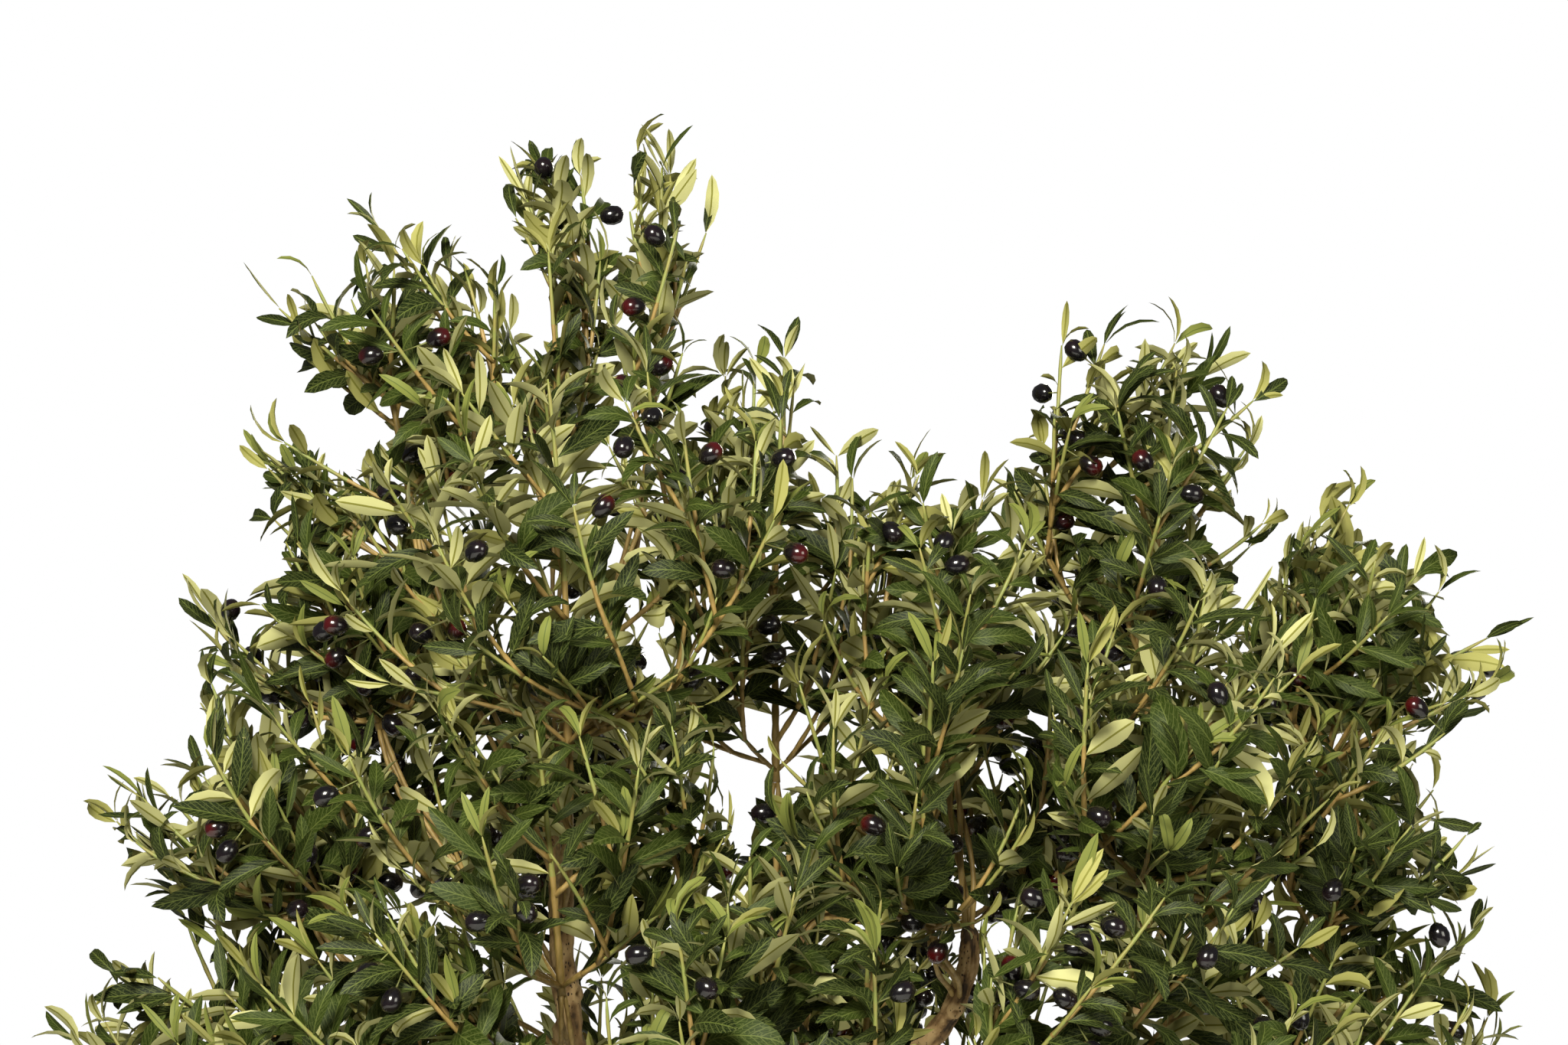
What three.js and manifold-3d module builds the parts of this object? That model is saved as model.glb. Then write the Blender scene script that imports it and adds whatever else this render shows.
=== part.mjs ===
// An artificial olive tree, 2.3 m high, in a plain pot. A barked trunk forks into boughs with blunt ends.
// Slim stems rise from the boughs, and each ends in a mass of foliage that keeps to a space of its own.
// Millimetres, +Z up, -Y to the front. The origin is the middle of the pot's flat underside.

import * as THREE from "three";
import { mergeVertices } from "three/addons/utils/BufferGeometryUtils.js";
import Module from "manifold-3d";

const wasm = await Module();
wasm.setup();

const GAP = 0.3; // clearance where one solid meets the next
const UP = new THREE.Vector3(0, 0, 1);
const GOLDEN_TURN = Math.PI * (3 - Math.sqrt(5));
const SAME_POINT = 1e-4; // corners nearer than this are one corner
const FLAT_ENOUGH = 0.01; // how far a face may move where a cut's slivers are joined

// The stream of numbers behind all that is left to chance: state = state * STEP_FACTOR + STEP_ADDED
const STEP_FACTOR = 1664525;
const STEP_ADDED = 1013904223;
const STATES = 2 ** 32;

// Pot and its filling
const POT_HEIGHT = 270;
const POT_FOOT_RADIUS = 118;
const POT_RIM_RADIUS = 148;
const POT_WALL = 6;
const POT_FLOOR = 12;
const LIP_HEIGHT = 26;
const LIP_OUT = 8;
const FOOT_CHAMFER = 4;
const FILL_TOP = 246;
const POT_SIDES = 32;

// Trunk: a flat cut on the filling, a root flare, and a lean that comes back under the fork
const FORK_HEIGHT = 965;
const TRUNK_FOOT = [16, -4];
const TRUNK_WAIST = [34, 8];
const TRUNK_FORK = [-4, 4];
const TRUNK_RADIUS = 41;
const FORK_RADIUS = 33;
const FLARE = 23; // how far the roots stand out at the cut
const FLARE_SHARE = 0.13; // share of the trunk's length over which the flare dies away
const FOOT_SHARE = 0.08; // share of the trunk's height that stands upright above the cut
const WAIST_SHARE = 0.5; // how far up the trunk leans furthest
const FORK_ROUNDING = 12; // how much narrower the trunk's very end is
const TRUNK_SIDES = 12;
const TRUNK_SEGMENTS = 11;

// Barked boughs. on and share: what carries it and how far up that. leaves and ends: its way at each end.
const BOUGHS = {
  left_bough: {
    on: "trunk", share: 0.93, radii: [20, 10],
    leaves: [-1.05, -0.12, 1], ends: [0.06, 0.04, 1], tip: [-226, -40, 1580],
  },
  centre_bough: {
    on: "trunk", share: 1, radii: [22, 10],
    leaves: [-0.12, 0.1, 1], ends: [0.1, 0.02, 1], tip: [-4, 50, 1440],
  },
  right_bough: {
    on: "centre_bough", share: 0.55, radii: [14, 9.5],
    leaves: [1, -0.45, 0.5], ends: [0, 0, 1], tip: [189, -70, 1420],
  },
  outer_right_bough: {
    on: "trunk", share: 0.86, radii: [18, 9.5],
    leaves: [1.2, 0.1, 0.75], ends: [0.08, 0.05, 1], tip: [372, 10, 1425],
  },
  back_bough: {
    on: "trunk", share: 0.9, radii: [18, 9.5],
    leaves: [0.1, 1.1, 1], ends: [0.05, 0.25, 1], tip: [20, 270, 1410],
  },
};
const CURVE_REACH = 0.4; // how far a limb keeps each of its ways, as a share of its span
const BOUGH_SIDES = 7;
const BOUGH_SEGMENTS = 8;

// Slim stems, one to a mass
const STEM_RADII = [6, 4.6]; // at its root and at its tip
const STEM_FOLLOW = 0.5; // how much a stem's first way follows its bough's
const STEM_SIDES = 4;
const STEM_SEGMENTS = 3;
const ENTRY_DEPTH = 0.86; // where a stem ends, as a share of the way from a mass's middle to its skin
const ENTRY_DROP = 0.8; // how much a stem's end is drawn to the underside of its mass

// Masses of foliage. middle and half: the middle and half sizes of the space. on and share: as for a bough.
const MASSES = {
  right_of_peak: { on: "left_bough", share: 1, middle: [-124, -30, 2080], half: [72, 115, 220] },
  left_of_peak: { on: "left_bough", share: 0.93, middle: [-240, 45, 2058], half: [84, 130, 212] },
  upper_left: { on: "left_bough", share: 0.84, middle: [-412, -30, 2008], half: [165, 158, 188] },
  left_shoulder: { on: "left_bough", share: 0.7, middle: [-470, 70, 1795], half: [172, 168, 195] },
  left_heart: { on: "left_bough", share: 0.8, middle: [-212, -200, 1795], half: [235, 175, 235] },
  left_flank: { on: "left_bough", share: 0.6, middle: [-548, -70, 1562], half: [172, 175, 172] },
  left_waist: { on: "left_bough", share: 0.5, middle: [-228, -250, 1535], half: [232, 170, 215] },
  left_skirt: { on: "left_bough", share: 0.4, middle: [-588, 0, 1338], half: [180, 185, 185] },
  lower_left_front: { on: "left_bough", share: 0.3, middle: [-385, -235, 1325], half: [210, 185, 200] },
  upper_middle: { on: "centre_bough", share: 1, middle: [-10, 40, 1812], half: [185, 165, 268] },
  low_front: { on: "centre_bough", share: 0.34, middle: [-30, -300, 1345], half: [220, 175, 208] },
  middle_top: { on: "right_bough", share: 1, middle: [168, -60, 1762], half: [162, 165, 190] },
  middle_heart: { on: "right_bough", share: 0.8, middle: [132, -190, 1580], half: [192, 170, 195] },
  right_heart: { on: "outer_right_bough", share: 0.95, middle: [385, -190, 1610], half: [200, 175, 205] },
  right_peak: { on: "outer_right_bough", share: 1, middle: [388, 10, 1880], half: [165, 165, 215] },
  right_shoulder: { on: "outer_right_bough", share: 0.88, middle: [604, 0, 1735], half: [155, 170, 185] },
  right_flank: { on: "outer_right_bough", share: 0.78, middle: [612, -40, 1555], half: [155, 178, 190] },
  right_skirt: { on: "outer_right_bough", share: 0.6, middle: [590, 20, 1350], half: [175, 185, 210] },
  low_right_front: { on: "outer_right_bough", share: 0.48, middle: [335, -250, 1350], half: [210, 185, 215] },
  back_left: { on: "back_bough", share: 0.9, middle: [-310, 290, 1660], half: [215, 190, 250] },
  back_right: { on: "back_bough", share: 1, middle: [330, 285, 1640], half: [215, 190, 245] },
  back_low_left: { on: "back_bough", share: 0.5, middle: [-320, 290, 1290], half: [220, 195, 175] },
  back_middle: { on: "back_bough", share: 0.75, middle: [10, 400, 1440], half: [190, 165, 215] },
  back_low_right: { on: "back_bough", share: 0.6, middle: [330, 280, 1280], half: [215, 195, 175] },
};

// Twigs, sprays and fruit, fewer and larger than life. A spray is a twig's last leaf with a pair beside it.
const SEED = 4021;
const SEED_STEP = 7919;
const SHOOTS = 4; // to a mass, besides the leader that goes on from its stem
const NARROW_SPREAD = 0.42; // the first shoot's angle from the mass's axis, in radians
const WIDE_SPREAD = 1.85; // the last shoot's
const SPREAD_CHANCE = 0.2;
const TURN_CHANCE = 0.7; // how far chance turns a shoot about the axis, in radians from end to end
const REACH_CHANCE = 0.12; // how much of its reach a shoot may lose by chance
const OUTWARD_LEAN = 0.0006; // how a mass's axis leans out, for each millimetre from the trunk's axis
const LEAST_RISE = 0.001; // keeps a direction across that axis where the axis is upright
const LEADER_TOP = 0.98; // where the leader ends, as a share of the way to the skin
const LEADER_RISE = 0.45; // how far it keeps its stem's way, as a share of its span
const SHOOT_ROOTS = [0.5, 0.04]; // between these shares of the leader the shoots take their roots
const SHOOT_BOW = 0.1; // how far a shoot's middle bows outward, as a share of its span,
const SHOOT_SAG = 0.06; // and downward
const LEAST_WOOD = 0.4; // the least share of a shoot that is wood
const LEADER_RADIUS = [5.6, 3.6];
const SHOOT_RADIUS = [2.3, 1.7];
const TWIG_SIDES = 3;
const LEADER_SEGMENTS = 3;
const SHOOT_SEGMENTS = 2;
const SPRAY_LENGTH = 235;
const LAST_SPRAY = 0.85; // length of the spray at a twig's tip, as a share of the others
const SPRAY_THICKNESS = 5.5; // at its heart, where its three leaves meet
const SPRAY_HEART = 0.3; // along the spray, as a share of its length
const SPRAY_EDGE = [0.22, 0.18]; // half a spray's outline, along it and across: a side leaf's outer edge,
const SIDE_TIP = [0.68, 0.44]; // its tip,
const SPRAY_NOTCH = [0.4, 0.085]; // the notch beside the last leaf,
const LAST_LEAF_EDGE = [0.68, 0.13]; // and that leaf's widest place
const SPRAY_DROOP = 0.12;
const SPRAY_ANGLE = 0.72; // between a spray and its twig, in radians
const SPRAY_SINK = 1; // how far past its twig's middle a spray is rooted
const SPRAY_SPACING = 60;
const FIRST_SPRAY = 0.25; // share of a twig below its first spray
const TRIES = 8; // how often a spray is turned on and shortened before it is left out
const SHORTER = 0.95;
const NARROWER = 0.87; // each try also brings it nearer to its twig
const ELBOW_ROOM = 0.6; // how much of its own width a spray keeps from the next
const LAST_ANGLE = 0.08; // between a twig and the spray at its tip
const ANGLE_CHANCE = 0.4;
const TWIST_CHANCE = 1.6; // how far chance twists a spray about its own length, in radians from end to end
const LENGTH_RANGE = [0.85, 1.05]; // of a spray, as shares of SPRAY_LENGTH
const CUP_RANGE = [-0.2, 0.3]; // how far a spray's sides rise, as a share of their distance from its middle

// Where a spray is measured for elbow room: along it, across it and a radius, as shares of its length
const SPRAY_PLACES = [
  [SPRAY_HEART, 0, 0.13], [0.66, 0, 0.09], [0.46, 0.27, 0.08], [0.46, -0.27, 0.08],
  [1, 0, 0.02], [...SIDE_TIP, 0.02], [SIDE_TIP[0], -SIDE_TIP[1], 0.02],
];

const FRUIT_LENGTH = 34;
const FRUIT_WIDTH = 27;
const FRUIT_EVERY = 12; // one spray in so many has a fruit at its root
const FRUIT_SINK = 0.45; // how far a fruit's middle is from its twig's, as a share of its width
const SPACE_MARGIN = 1; // what a twig or spray keeps clear of its space's walls,
const LIMB_MARGIN = 2; // of the limbs,
const STEM_MARGIN = 0.1; // and of its own mass's stem
const SKIN = 1.06; // how far past its ellipsoid a spray's corner may go
const DRAWN = 0.98; // how much of the room towards a point outside is used

const BARK = new THREE.MeshStandardMaterial({ color: 0x7b6340, roughness: 0.9, metalness: 0 });
const STEM = new THREE.MeshStandardMaterial({ color: 0xa68f55, roughness: 0.6, metalness: 0 });
const FOLIAGE = new THREE.MeshStandardMaterial({ color: 0x5d6b3c, roughness: 0.7, metalness: 0 });
const PLASTIC = new THREE.MeshStandardMaterial({ color: 0x2e2d2b, roughness: 0.6, metalness: 0 });
const FILLING = new THREE.MeshStandardMaterial({ color: 0x4a3a2b, roughness: 0.95, metalness: 0 });

const vector = (numbers) => new THREE.Vector3(...numbers);
const lerp = THREE.MathUtils.lerp;

// A stream of numbers from 0 to 1 that is the same for the same seed.
function seeded(seed) {
  let state = seed >>> 0;
  const next = () => {
    state = (Math.imul(state, STEP_FACTOR) + STEP_ADDED) >>> 0;
    return state / STATES;
  };
  next();
  next();
  return next;
}

function solidFrom(geometry) {
  const bare = geometry.clone();
  bare.deleteAttribute("normal");
  bare.deleteAttribute("uv");
  const merged = mergeVertices(bare, SAME_POINT);
  return new wasm.Manifold(
    new wasm.Mesh({
      numProp: 3,
      vertProperties: merged.getAttribute("position").array,
      triVerts: new Uint32Array(merged.index.array),
    }),
  );
}

function meshFrom(name, solid, material) {
  const { vertProperties, triVerts } = solid.simplify(FLAT_ENOUGH).getMesh();
  const geometry = new THREE.BufferGeometry();
  geometry.setAttribute("position", new THREE.BufferAttribute(vertProperties, 3));
  geometry.setIndex(new THREE.BufferAttribute(triVerts, 1));
  geometry.computeVertexNormals();
  const mesh = new THREE.Mesh(geometry, material);
  mesh.name = name;
  return mesh;
}

// The largest piece of a solid, so that a loose scrap is dropped.
function largest(solid) {
  return solid.decompose().reduce((a, b) => (b.volume() > a.volume() ? b : a));
}

// A closed tube of changing radius: a capped cylinder whose rings are carried onto a curve.
function tube(curve, radiusAt, sides, segments) {
  const geometry = new THREE.CylinderGeometry(1, 1, 1, sides, segments);
  const frames = curve.computeFrenetFrames(segments, false);
  const position = geometry.getAttribute("position");
  for (let i = 0; i < position.count; i++) {
    const ring = Math.round((position.getY(i) + 0.5) * segments);
    const radius = radiusAt(ring / segments);
    const point = curve.getPointAt(ring / segments);
    point.addScaledVector(frames.normals[ring], position.getX(i) * radius);
    point.addScaledVector(frames.binormals[ring], -position.getZ(i) * radius);
    position.setXYZ(i, point.x, point.y, point.z);
  }
  return solidFrom(geometry);
}

// Turns an outline of [radius, height] about the Z axis.
function turned(outline) {
  const points = outline.map(([radius, height]) => new THREE.Vector2(radius, height));
  return solidFrom(new THREE.LatheGeometry(points, POT_SIDES).rotateX(Math.PI / 2));
}

function makePot() {
  const lipFoot = POT_HEIGHT - LIP_HEIGHT;
  return turned([
    [0, 0],
    [POT_FOOT_RADIUS - FOOT_CHAMFER, 0],
    [POT_FOOT_RADIUS, FOOT_CHAMFER],
    [POT_RIM_RADIUS, lipFoot],
    [POT_RIM_RADIUS + LIP_OUT, lipFoot + FOOT_CHAMFER],
    [POT_RIM_RADIUS + LIP_OUT, POT_HEIGHT],
    [POT_RIM_RADIUS - POT_WALL, POT_HEIGHT],
    [POT_FOOT_RADIUS - POT_WALL, POT_FLOOR],
    [0, POT_FLOOR],
  ]);
}

// The pot's inner radius at a height.
function innerRadius(height) {
  const share = (height - POT_FLOOR) / (POT_HEIGHT - POT_FLOOR);
  return lerp(POT_FOOT_RADIUS, POT_RIM_RADIUS, share) - POT_WALL;
}

function makeFill() {
  const foot = POT_FLOOR + GAP;
  return turned([
    [0, foot],
    [innerRadius(foot) - GAP, foot],
    [innerRadius(FILL_TOP) - GAP, FILL_TOP],
    [0, FILL_TOP],
  ]);
}

// Every limb as a curve and a radius along it. The first is the trunk.
function trunkLimb() {
  const foot = FILL_TOP + GAP;
  const height = FORK_HEIGHT - foot;
  const curve = new THREE.CatmullRomCurve3([
    vector([...TRUNK_FOOT, foot]),
    vector([...TRUNK_FOOT, foot + height * FOOT_SHARE]),
    vector([...TRUNK_WAIST, foot + height * WAIST_SHARE]),
    vector([...TRUNK_FORK, FORK_HEIGHT]),
  ]);
  const radiusAt = (share) => {
    const plain = lerp(TRUNK_RADIUS, FORK_RADIUS, share) + FLARE * Math.exp(-share / FLARE_SHARE);
    return share < 1 ? plain : plain - FORK_ROUNDING;
  };
  return { name: "trunk", curve, radiusAt, sides: TRUNK_SIDES, segments: TRUNK_SEGMENTS };
}

// A limb that leaves its carrier one way and ends another: a cubic curve between the two.
function limbBetween(carrier, share, { name, leaves, tip, ends, radii, sides, segments }) {
  const start = carrier.curve.getPointAt(share);
  if (share === 1 && carrier.name !== "trunk") start.addScaledVector(carrier.curve.getTangentAt(1), GAP);
  const reach = start.distanceTo(tip) * CURVE_REACH;
  const curve = new THREE.CubicBezierCurve3(
    start,
    start.clone().addScaledVector(leaves.normalize(), reach),
    tip.clone().addScaledVector(ends.normalize(), -reach),
    tip,
  );
  return { name, curve, radiusAt: (along) => lerp(...radii, along), sides, segments };
}

function boughLimb(name, { on, share, radii, leaves, ends, tip }, limbs) {
  const ways = { leaves: vector(leaves), tip: vector(tip), ends: vector(ends) };
  const shape = { radii, sides: BOUGH_SIDES, segments: BOUGH_SEGMENTS };
  return limbBetween(limbs.get(on), share, { name, ...ways, ...shape });
}

// The stem to a mass: it ends on the underside of the mass's space, pointing at the middle.
function stemLimb(name, { on, share, middle, half }, limbs) {
  const carrier = limbs.get(on);
  const start = carrier.curve.getPointAt(share);
  const centre = vector(middle);
  const size = vector(half);
  const inward = start.clone().sub(centre).divide(size).normalize();
  const entry = inward.addScaledVector(UP, -ENTRY_DROP).normalize().multiply(size);
  const tip = centre.clone().addScaledVector(entry, ENTRY_DEPTH);
  const ends = centre.clone().sub(tip).normalize();
  const leaves = carrier.curve.getTangentAt(share);
  if (share < 1) leaves.multiplyScalar(STEM_FOLLOW).add(tip.clone().sub(start).normalize());
  const shape = { radii: STEM_RADII, sides: STEM_SIDES, segments: STEM_SEGMENTS };
  return limbBetween(carrier, share, { name: name + "_stem", leaves, tip, ends, ...shape });
}

function makeLimbs() {
  const limbs = new Map([["trunk", trunkLimb()]]);
  for (const [name, bough] of Object.entries(BOUGHS)) limbs.set(name, boughLimb(name, bough, limbs));
  for (const [name, mass] of Object.entries(MASSES)) {
    const stem = stemLimb(name, mass, limbs);
    limbs.set(stem.name, stem);
  }
  return limbs;
}

function limbSolid({ curve, radiusAt, sides, segments }, extra = 0) {
  return tube(curve, (share) => radiusAt(share) + extra, sides, segments);
}

// The space of a mass: an ellipsoid, with a flat wall towards each other mass.
function makeSpaces(limbs) {
  const entries = Object.entries(MASSES);
  const reachAlong = (half, way) => 1 / way.clone().divide(half).length();
  return entries.map(([name, { middle, half }], index) => {
    const centre = vector(middle);
    const size = vector(half);
    const walls = entries
      .filter(([other]) => other !== name)
      .map(([, other]) => {
        const way = vector(other.middle).sub(centre);
        const distance = way.length();
        way.normalize();
        const own = reachAlong(size, way);
        const share = own / (own + reachAlong(vector(other.half), way));
        return { way, offset: distance * share - SPACE_MARGIN };
      });
    const stem = limbs.get(name + "_stem");
    return { name, index, centre, size, walls, stem };
  });
}

// How far out from the middle a point may go, as a share of its own distance.
function roomTowards(space, point) {
  const out = point.clone().sub(space.centre);
  return space.walls.reduce((room, { way, offset }) => {
    const ahead = out.dot(way);
    return ahead > 0 ? Math.min(room, offset / ahead) : room;
  }, 1);
}

function inSpace(space, point) {
  const within = point.clone().sub(space.centre).divide(space.size).length() <= SKIN;
  return within && roomTowards(space, point) >= 1;
}

function drawnIn(space, point) {
  return space.centre.clone().lerp(point, roomTowards(space, point) * DRAWN);
}

function clearOf(balls, others) {
  return balls.every(({ point, radius }) =>
    others.every((other) => other.point.distanceTo(point) > other.radius + radius),
  );
}

function misses(solid, others) {
  return solid.intersect(others).isEmpty();
}

// The shoots of a mass: its stem, then curved twigs that fan out from the stem to the skin of the space.
function growShoots(space, random, limbs) {
  const { centre, size, stem } = space;
  const foot = stem.curve.getPointAt(1);
  const rising = stem.curve.getTangentAt(1);
  foot.addScaledVector(rising, GAP);
  const outward = new THREE.Vector3(centre.x, centre.y, 0).multiplyScalar(OUTWARD_LEAN);
  const axis = UP.clone().add(outward).normalize();
  const across = new THREE.Vector3(-axis.y, axis.x, LEAST_RISE).cross(axis).normalize();
  const along = new THREE.Vector3().crossVectors(axis, across);
  const top = drawnIn(space, axis.clone().multiply(size).multiplyScalar(LEADER_TOP).add(centre));
  const bend = foot.clone().addScaledVector(rising, foot.distanceTo(top) * LEADER_RISE);
  const leader = new THREE.QuadraticBezierCurve3(foot, bend, top);
  const shoots = [];
  const keep = (curve, radii, segments) => {
    const length = curve.getLength();
    const wood = Math.max(length - SPRAY_LENGTH * LAST_SPRAY, length * LEAST_WOOD);
    const places = [0, 1, 2, 3].map((third) => curve.getPointAt(((third / 3) * wood) / length));
    const line = new THREE.CatmullRomCurve3(places);
    const solid = tube(line, (share) => lerp(...radii, share), TWIG_SIDES, segments);
    if (misses(solid, limbs)) shoots.push({ curve, wood, solid });
  };
  keep(leader, LEADER_RADIUS, LEADER_SEGMENTS);
  for (let k = 0; k < SHOOTS; k++) {
    const rank = (k + 0.5) / SHOOTS;
    const turn = k * GOLDEN_TURN + (random() - 0.5) * TURN_CHANCE + space.index;
    const spread = lerp(NARROW_SPREAD, WIDE_SPREAD, rank) + (random() - 0.5) * SPREAD_CHANCE;
    const reach = 1 - REACH_CHANCE * random();
    const fan = across.clone().multiplyScalar(Math.cos(turn)).addScaledVector(along, Math.sin(turn));
    const way = axis.clone().multiplyScalar(Math.cos(spread)).addScaledVector(fan, Math.sin(spread));
    const target = drawnIn(space, way.multiply(size).multiplyScalar(reach).add(centre));
    const root = leader.getPointAt(lerp(...SHOOT_ROOTS, rank));
    const length = root.distanceTo(target);
    const middle = root.clone().lerp(target, 0.5).addScaledVector(fan, length * SHOOT_BOW);
    middle.addScaledVector(UP, -length * SHOOT_SAG);
    const curve = new THREE.QuadraticBezierCurve3(root, drawnIn(space, middle), target);
    keep(curve, SHOOT_RADIUS, SHOOT_SEGMENTS);
  }
  return shoots;
}

// A point of a spray: along it and across as shares of its length, and above its drooping middle.
function sprayPoint({ base, ahead, face, length, cup }, along, across, above = 0) {
  const side = new THREE.Vector3().crossVectors(face, ahead);
  const lift = cup * Math.abs(across) - SPRAY_DROOP * (along * along + across * across);
  return base.clone()
    .addScaledVector(ahead, along * length)
    .addScaledVector(side, across * length)
    .addScaledVector(face, lift * length + above);
}

function sprayOutline(spray) {
  const half = [SPRAY_EDGE, SIDE_TIP, SPRAY_NOTCH, LAST_LEAF_EDGE];
  const right = half.map(([along, across]) => sprayPoint(spray, along, -across));
  const left = half.map(([along, across]) => sprayPoint(spray, along, across)).reverse();
  return [sprayPoint(spray, 0, 0), ...right, sprayPoint(spray, 1, 0), ...left];
}

// A thin blade in a spray's outline, thickest at its heart and sharp at its edge.
function spraySolid(spray) {
  const outline = sprayOutline(spray);
  const top = outline.length;
  const hearts = [1, -1].map((up) => sprayPoint(spray, SPRAY_HEART, 0, (up * SPRAY_THICKNESS) / 2));
  const faces = outline.flatMap((_, i) => {
    const next = (i + 1) % top;
    return [top, i, next, top + 1, next, i];
  });
  return solidFrom(new THREE.BufferGeometry().setFromPoints([...outline, ...hearts]).setIndex(faces));
}

// Balls on a spray's leaves, for keeping it clear of limbs and of other sprays.
function sprayBalls(spray, room) {
  return SPRAY_PLACES.map(([along, across, radius]) => ({
    point: sprayPoint(spray, along, across),
    radius: radius * spray.length * room,
  }));
}

function sprayFits(spray, space, limbs, taken) {
  const inside = sprayOutline(spray).slice(1).every((corner) => inSpace(space, corner));
  return inside && clearOf(sprayBalls(spray, ELBOW_ROOM), taken) && misses(spraySolid(spray), limbs);
}

function fruitSolid(centre, way) {
  const geometry = new THREE.IcosahedronGeometry(1);
  geometry.scale(FRUIT_WIDTH / 2, FRUIT_WIDTH / 2, FRUIT_LENGTH / 2);
  geometry.applyQuaternion(new THREE.Quaternion().setFromUnitVectors(UP, way));
  geometry.translate(centre.x, centre.y, centre.z);
  return solidFrom(geometry);
}

// A spray at a point on its twig: turned about the twig, leaning out by an angle, and twisted.
function placeSpray(point, tangent, { turn, angle, twist, length, cup }) {
  const across = new THREE.Vector3().crossVectors(tangent, UP).normalize();
  const out = across.clone().multiplyScalar(Math.cos(turn));
  out.addScaledVector(new THREE.Vector3().crossVectors(across, tangent), Math.sin(turn));
  const ahead = tangent.clone().multiplyScalar(Math.cos(angle)).addScaledVector(out, Math.sin(angle));
  ahead.normalize();
  const face = tangent.clone().multiplyScalar(Math.sin(angle)).addScaledVector(out, -Math.cos(angle));
  face.applyAxisAngle(ahead, twist).normalize();
  return { base: point.clone().addScaledVector(ahead, -SPRAY_SINK), ahead, face, out, length, cup };
}

// The sprays and fruit along one twig, turned on from place to place, with a last spray to its tip.
function dressShoot({ curve, wood }, space, random, limbs, taken) {
  const solids = [];
  const first = wood * FIRST_SPRAY;
  const count = Math.max(1, Math.round((wood - first) / SPRAY_SPACING));
  let turn = random() * Math.PI * 2;
  for (let i = 0; i <= count; i++) {
    const last = i === count;
    const share = (first + ((wood - first) * i) / count) / curve.getLength();
    const point = curve.getPointAt(share);
    const tangent = curve.getTangentAt(share);
    const manner = {
      turn,
      angle: last ? LAST_ANGLE : SPRAY_ANGLE + (random() - 0.5) * ANGLE_CHANCE,
      twist: (random() - 0.5) * TWIST_CHANCE,
      length: last ? curve.getLength() - wood : SPRAY_LENGTH * lerp(...LENGTH_RANGE, random()),
      cup: lerp(...CUP_RANGE, random()),
    };
    const fruitful = random() < 1 / FRUIT_EVERY;
    for (let attempt = 0; attempt < TRIES; attempt++) {
      manner.turn += GOLDEN_TURN;
      const spray = placeSpray(point, tangent, manner);
      if (sprayFits(spray, space, limbs, taken)) {
        solids.push(spraySolid(spray));
        taken.push(...sprayBalls(spray, ELBOW_ROOM));
        const hung = point.clone().addScaledVector(spray.out, -FRUIT_WIDTH * FRUIT_SINK);
        const fruit = fruitSolid(hung, tangent);
        if (fruitful && !last && inSpace(space, hung) && misses(fruit, limbs)) solids.push(fruit);
        break;
      }
      manner.length *= SHORTER;
      if (!last) manner.angle *= NARROWER;
    }
    turn = manner.turn;
  }
  return solids;
}

function massSolid(space, limbs) {
  const random = seeded(SEED + space.index * SEED_STEP);
  const taken = [];
  const solids = growShoots(space, random, limbs).flatMap((shoot) => [
    shoot.solid,
    ...dressShoot(shoot, space, random, limbs, taken),
  ]);
  return largest(solids.reduce((whole, solid) => whole.add(solid)));
}

const tree = new THREE.Group();
tree.add(meshFrom("pot", makePot(), PLASTIC));
tree.add(meshFrom("filling", makeFill(), FILLING));

const limbs = makeLimbs();
const grown = [];
for (const limb of limbs.values()) {
  const barked = limb.name === "trunk" || limb.name in BOUGHS;
  const solid = grown.reduce((rest, other) => rest.subtract(other), limbSolid(limb));
  tree.add(meshFrom(limb.name, largest(solid), barked ? BARK : STEM));
  grown.push(limbSolid(limb, GAP));
}

for (const space of makeSpaces(limbs)) {
  const others = [...limbs.values()].filter((limb) => limb !== space.stem);
  const around = others
    .map((limb) => limbSolid(limb, LIMB_MARGIN))
    .reduce((whole, solid) => whole.add(solid), limbSolid(space.stem, STEM_MARGIN));
  tree.add(meshFrom(space.name, massSolid(space, around), FOLIAGE));
}

export default tree;
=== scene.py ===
"""Looks of an artificial olive tree in a pot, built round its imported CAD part.

Sizes are in millimetres, as in the part's own source, and every mesh is made in metres. The crown grows by
the source's rule: from the same limbs, into the same spaces, and on to finer twigs, leaves and olives.
"""

import logging
import math
from collections.abc import Callable
from dataclasses import dataclass, field, replace
from enum import Enum

import bmesh
import bpy
import numpy as np
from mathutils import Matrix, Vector, noise


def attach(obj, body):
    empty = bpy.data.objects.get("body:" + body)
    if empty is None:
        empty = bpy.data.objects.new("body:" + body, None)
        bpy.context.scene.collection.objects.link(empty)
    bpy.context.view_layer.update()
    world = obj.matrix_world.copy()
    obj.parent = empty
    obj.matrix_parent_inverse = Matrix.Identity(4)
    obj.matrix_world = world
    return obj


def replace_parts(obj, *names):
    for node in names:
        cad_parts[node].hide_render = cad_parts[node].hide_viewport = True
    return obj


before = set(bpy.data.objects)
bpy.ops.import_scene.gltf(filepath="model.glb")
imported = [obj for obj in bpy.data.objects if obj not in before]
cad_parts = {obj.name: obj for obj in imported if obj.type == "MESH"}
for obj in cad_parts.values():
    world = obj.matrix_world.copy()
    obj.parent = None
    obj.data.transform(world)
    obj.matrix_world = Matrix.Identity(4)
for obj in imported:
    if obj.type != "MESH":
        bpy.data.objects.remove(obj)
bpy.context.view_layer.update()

log = logging.getLogger("olive_tree")

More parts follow.
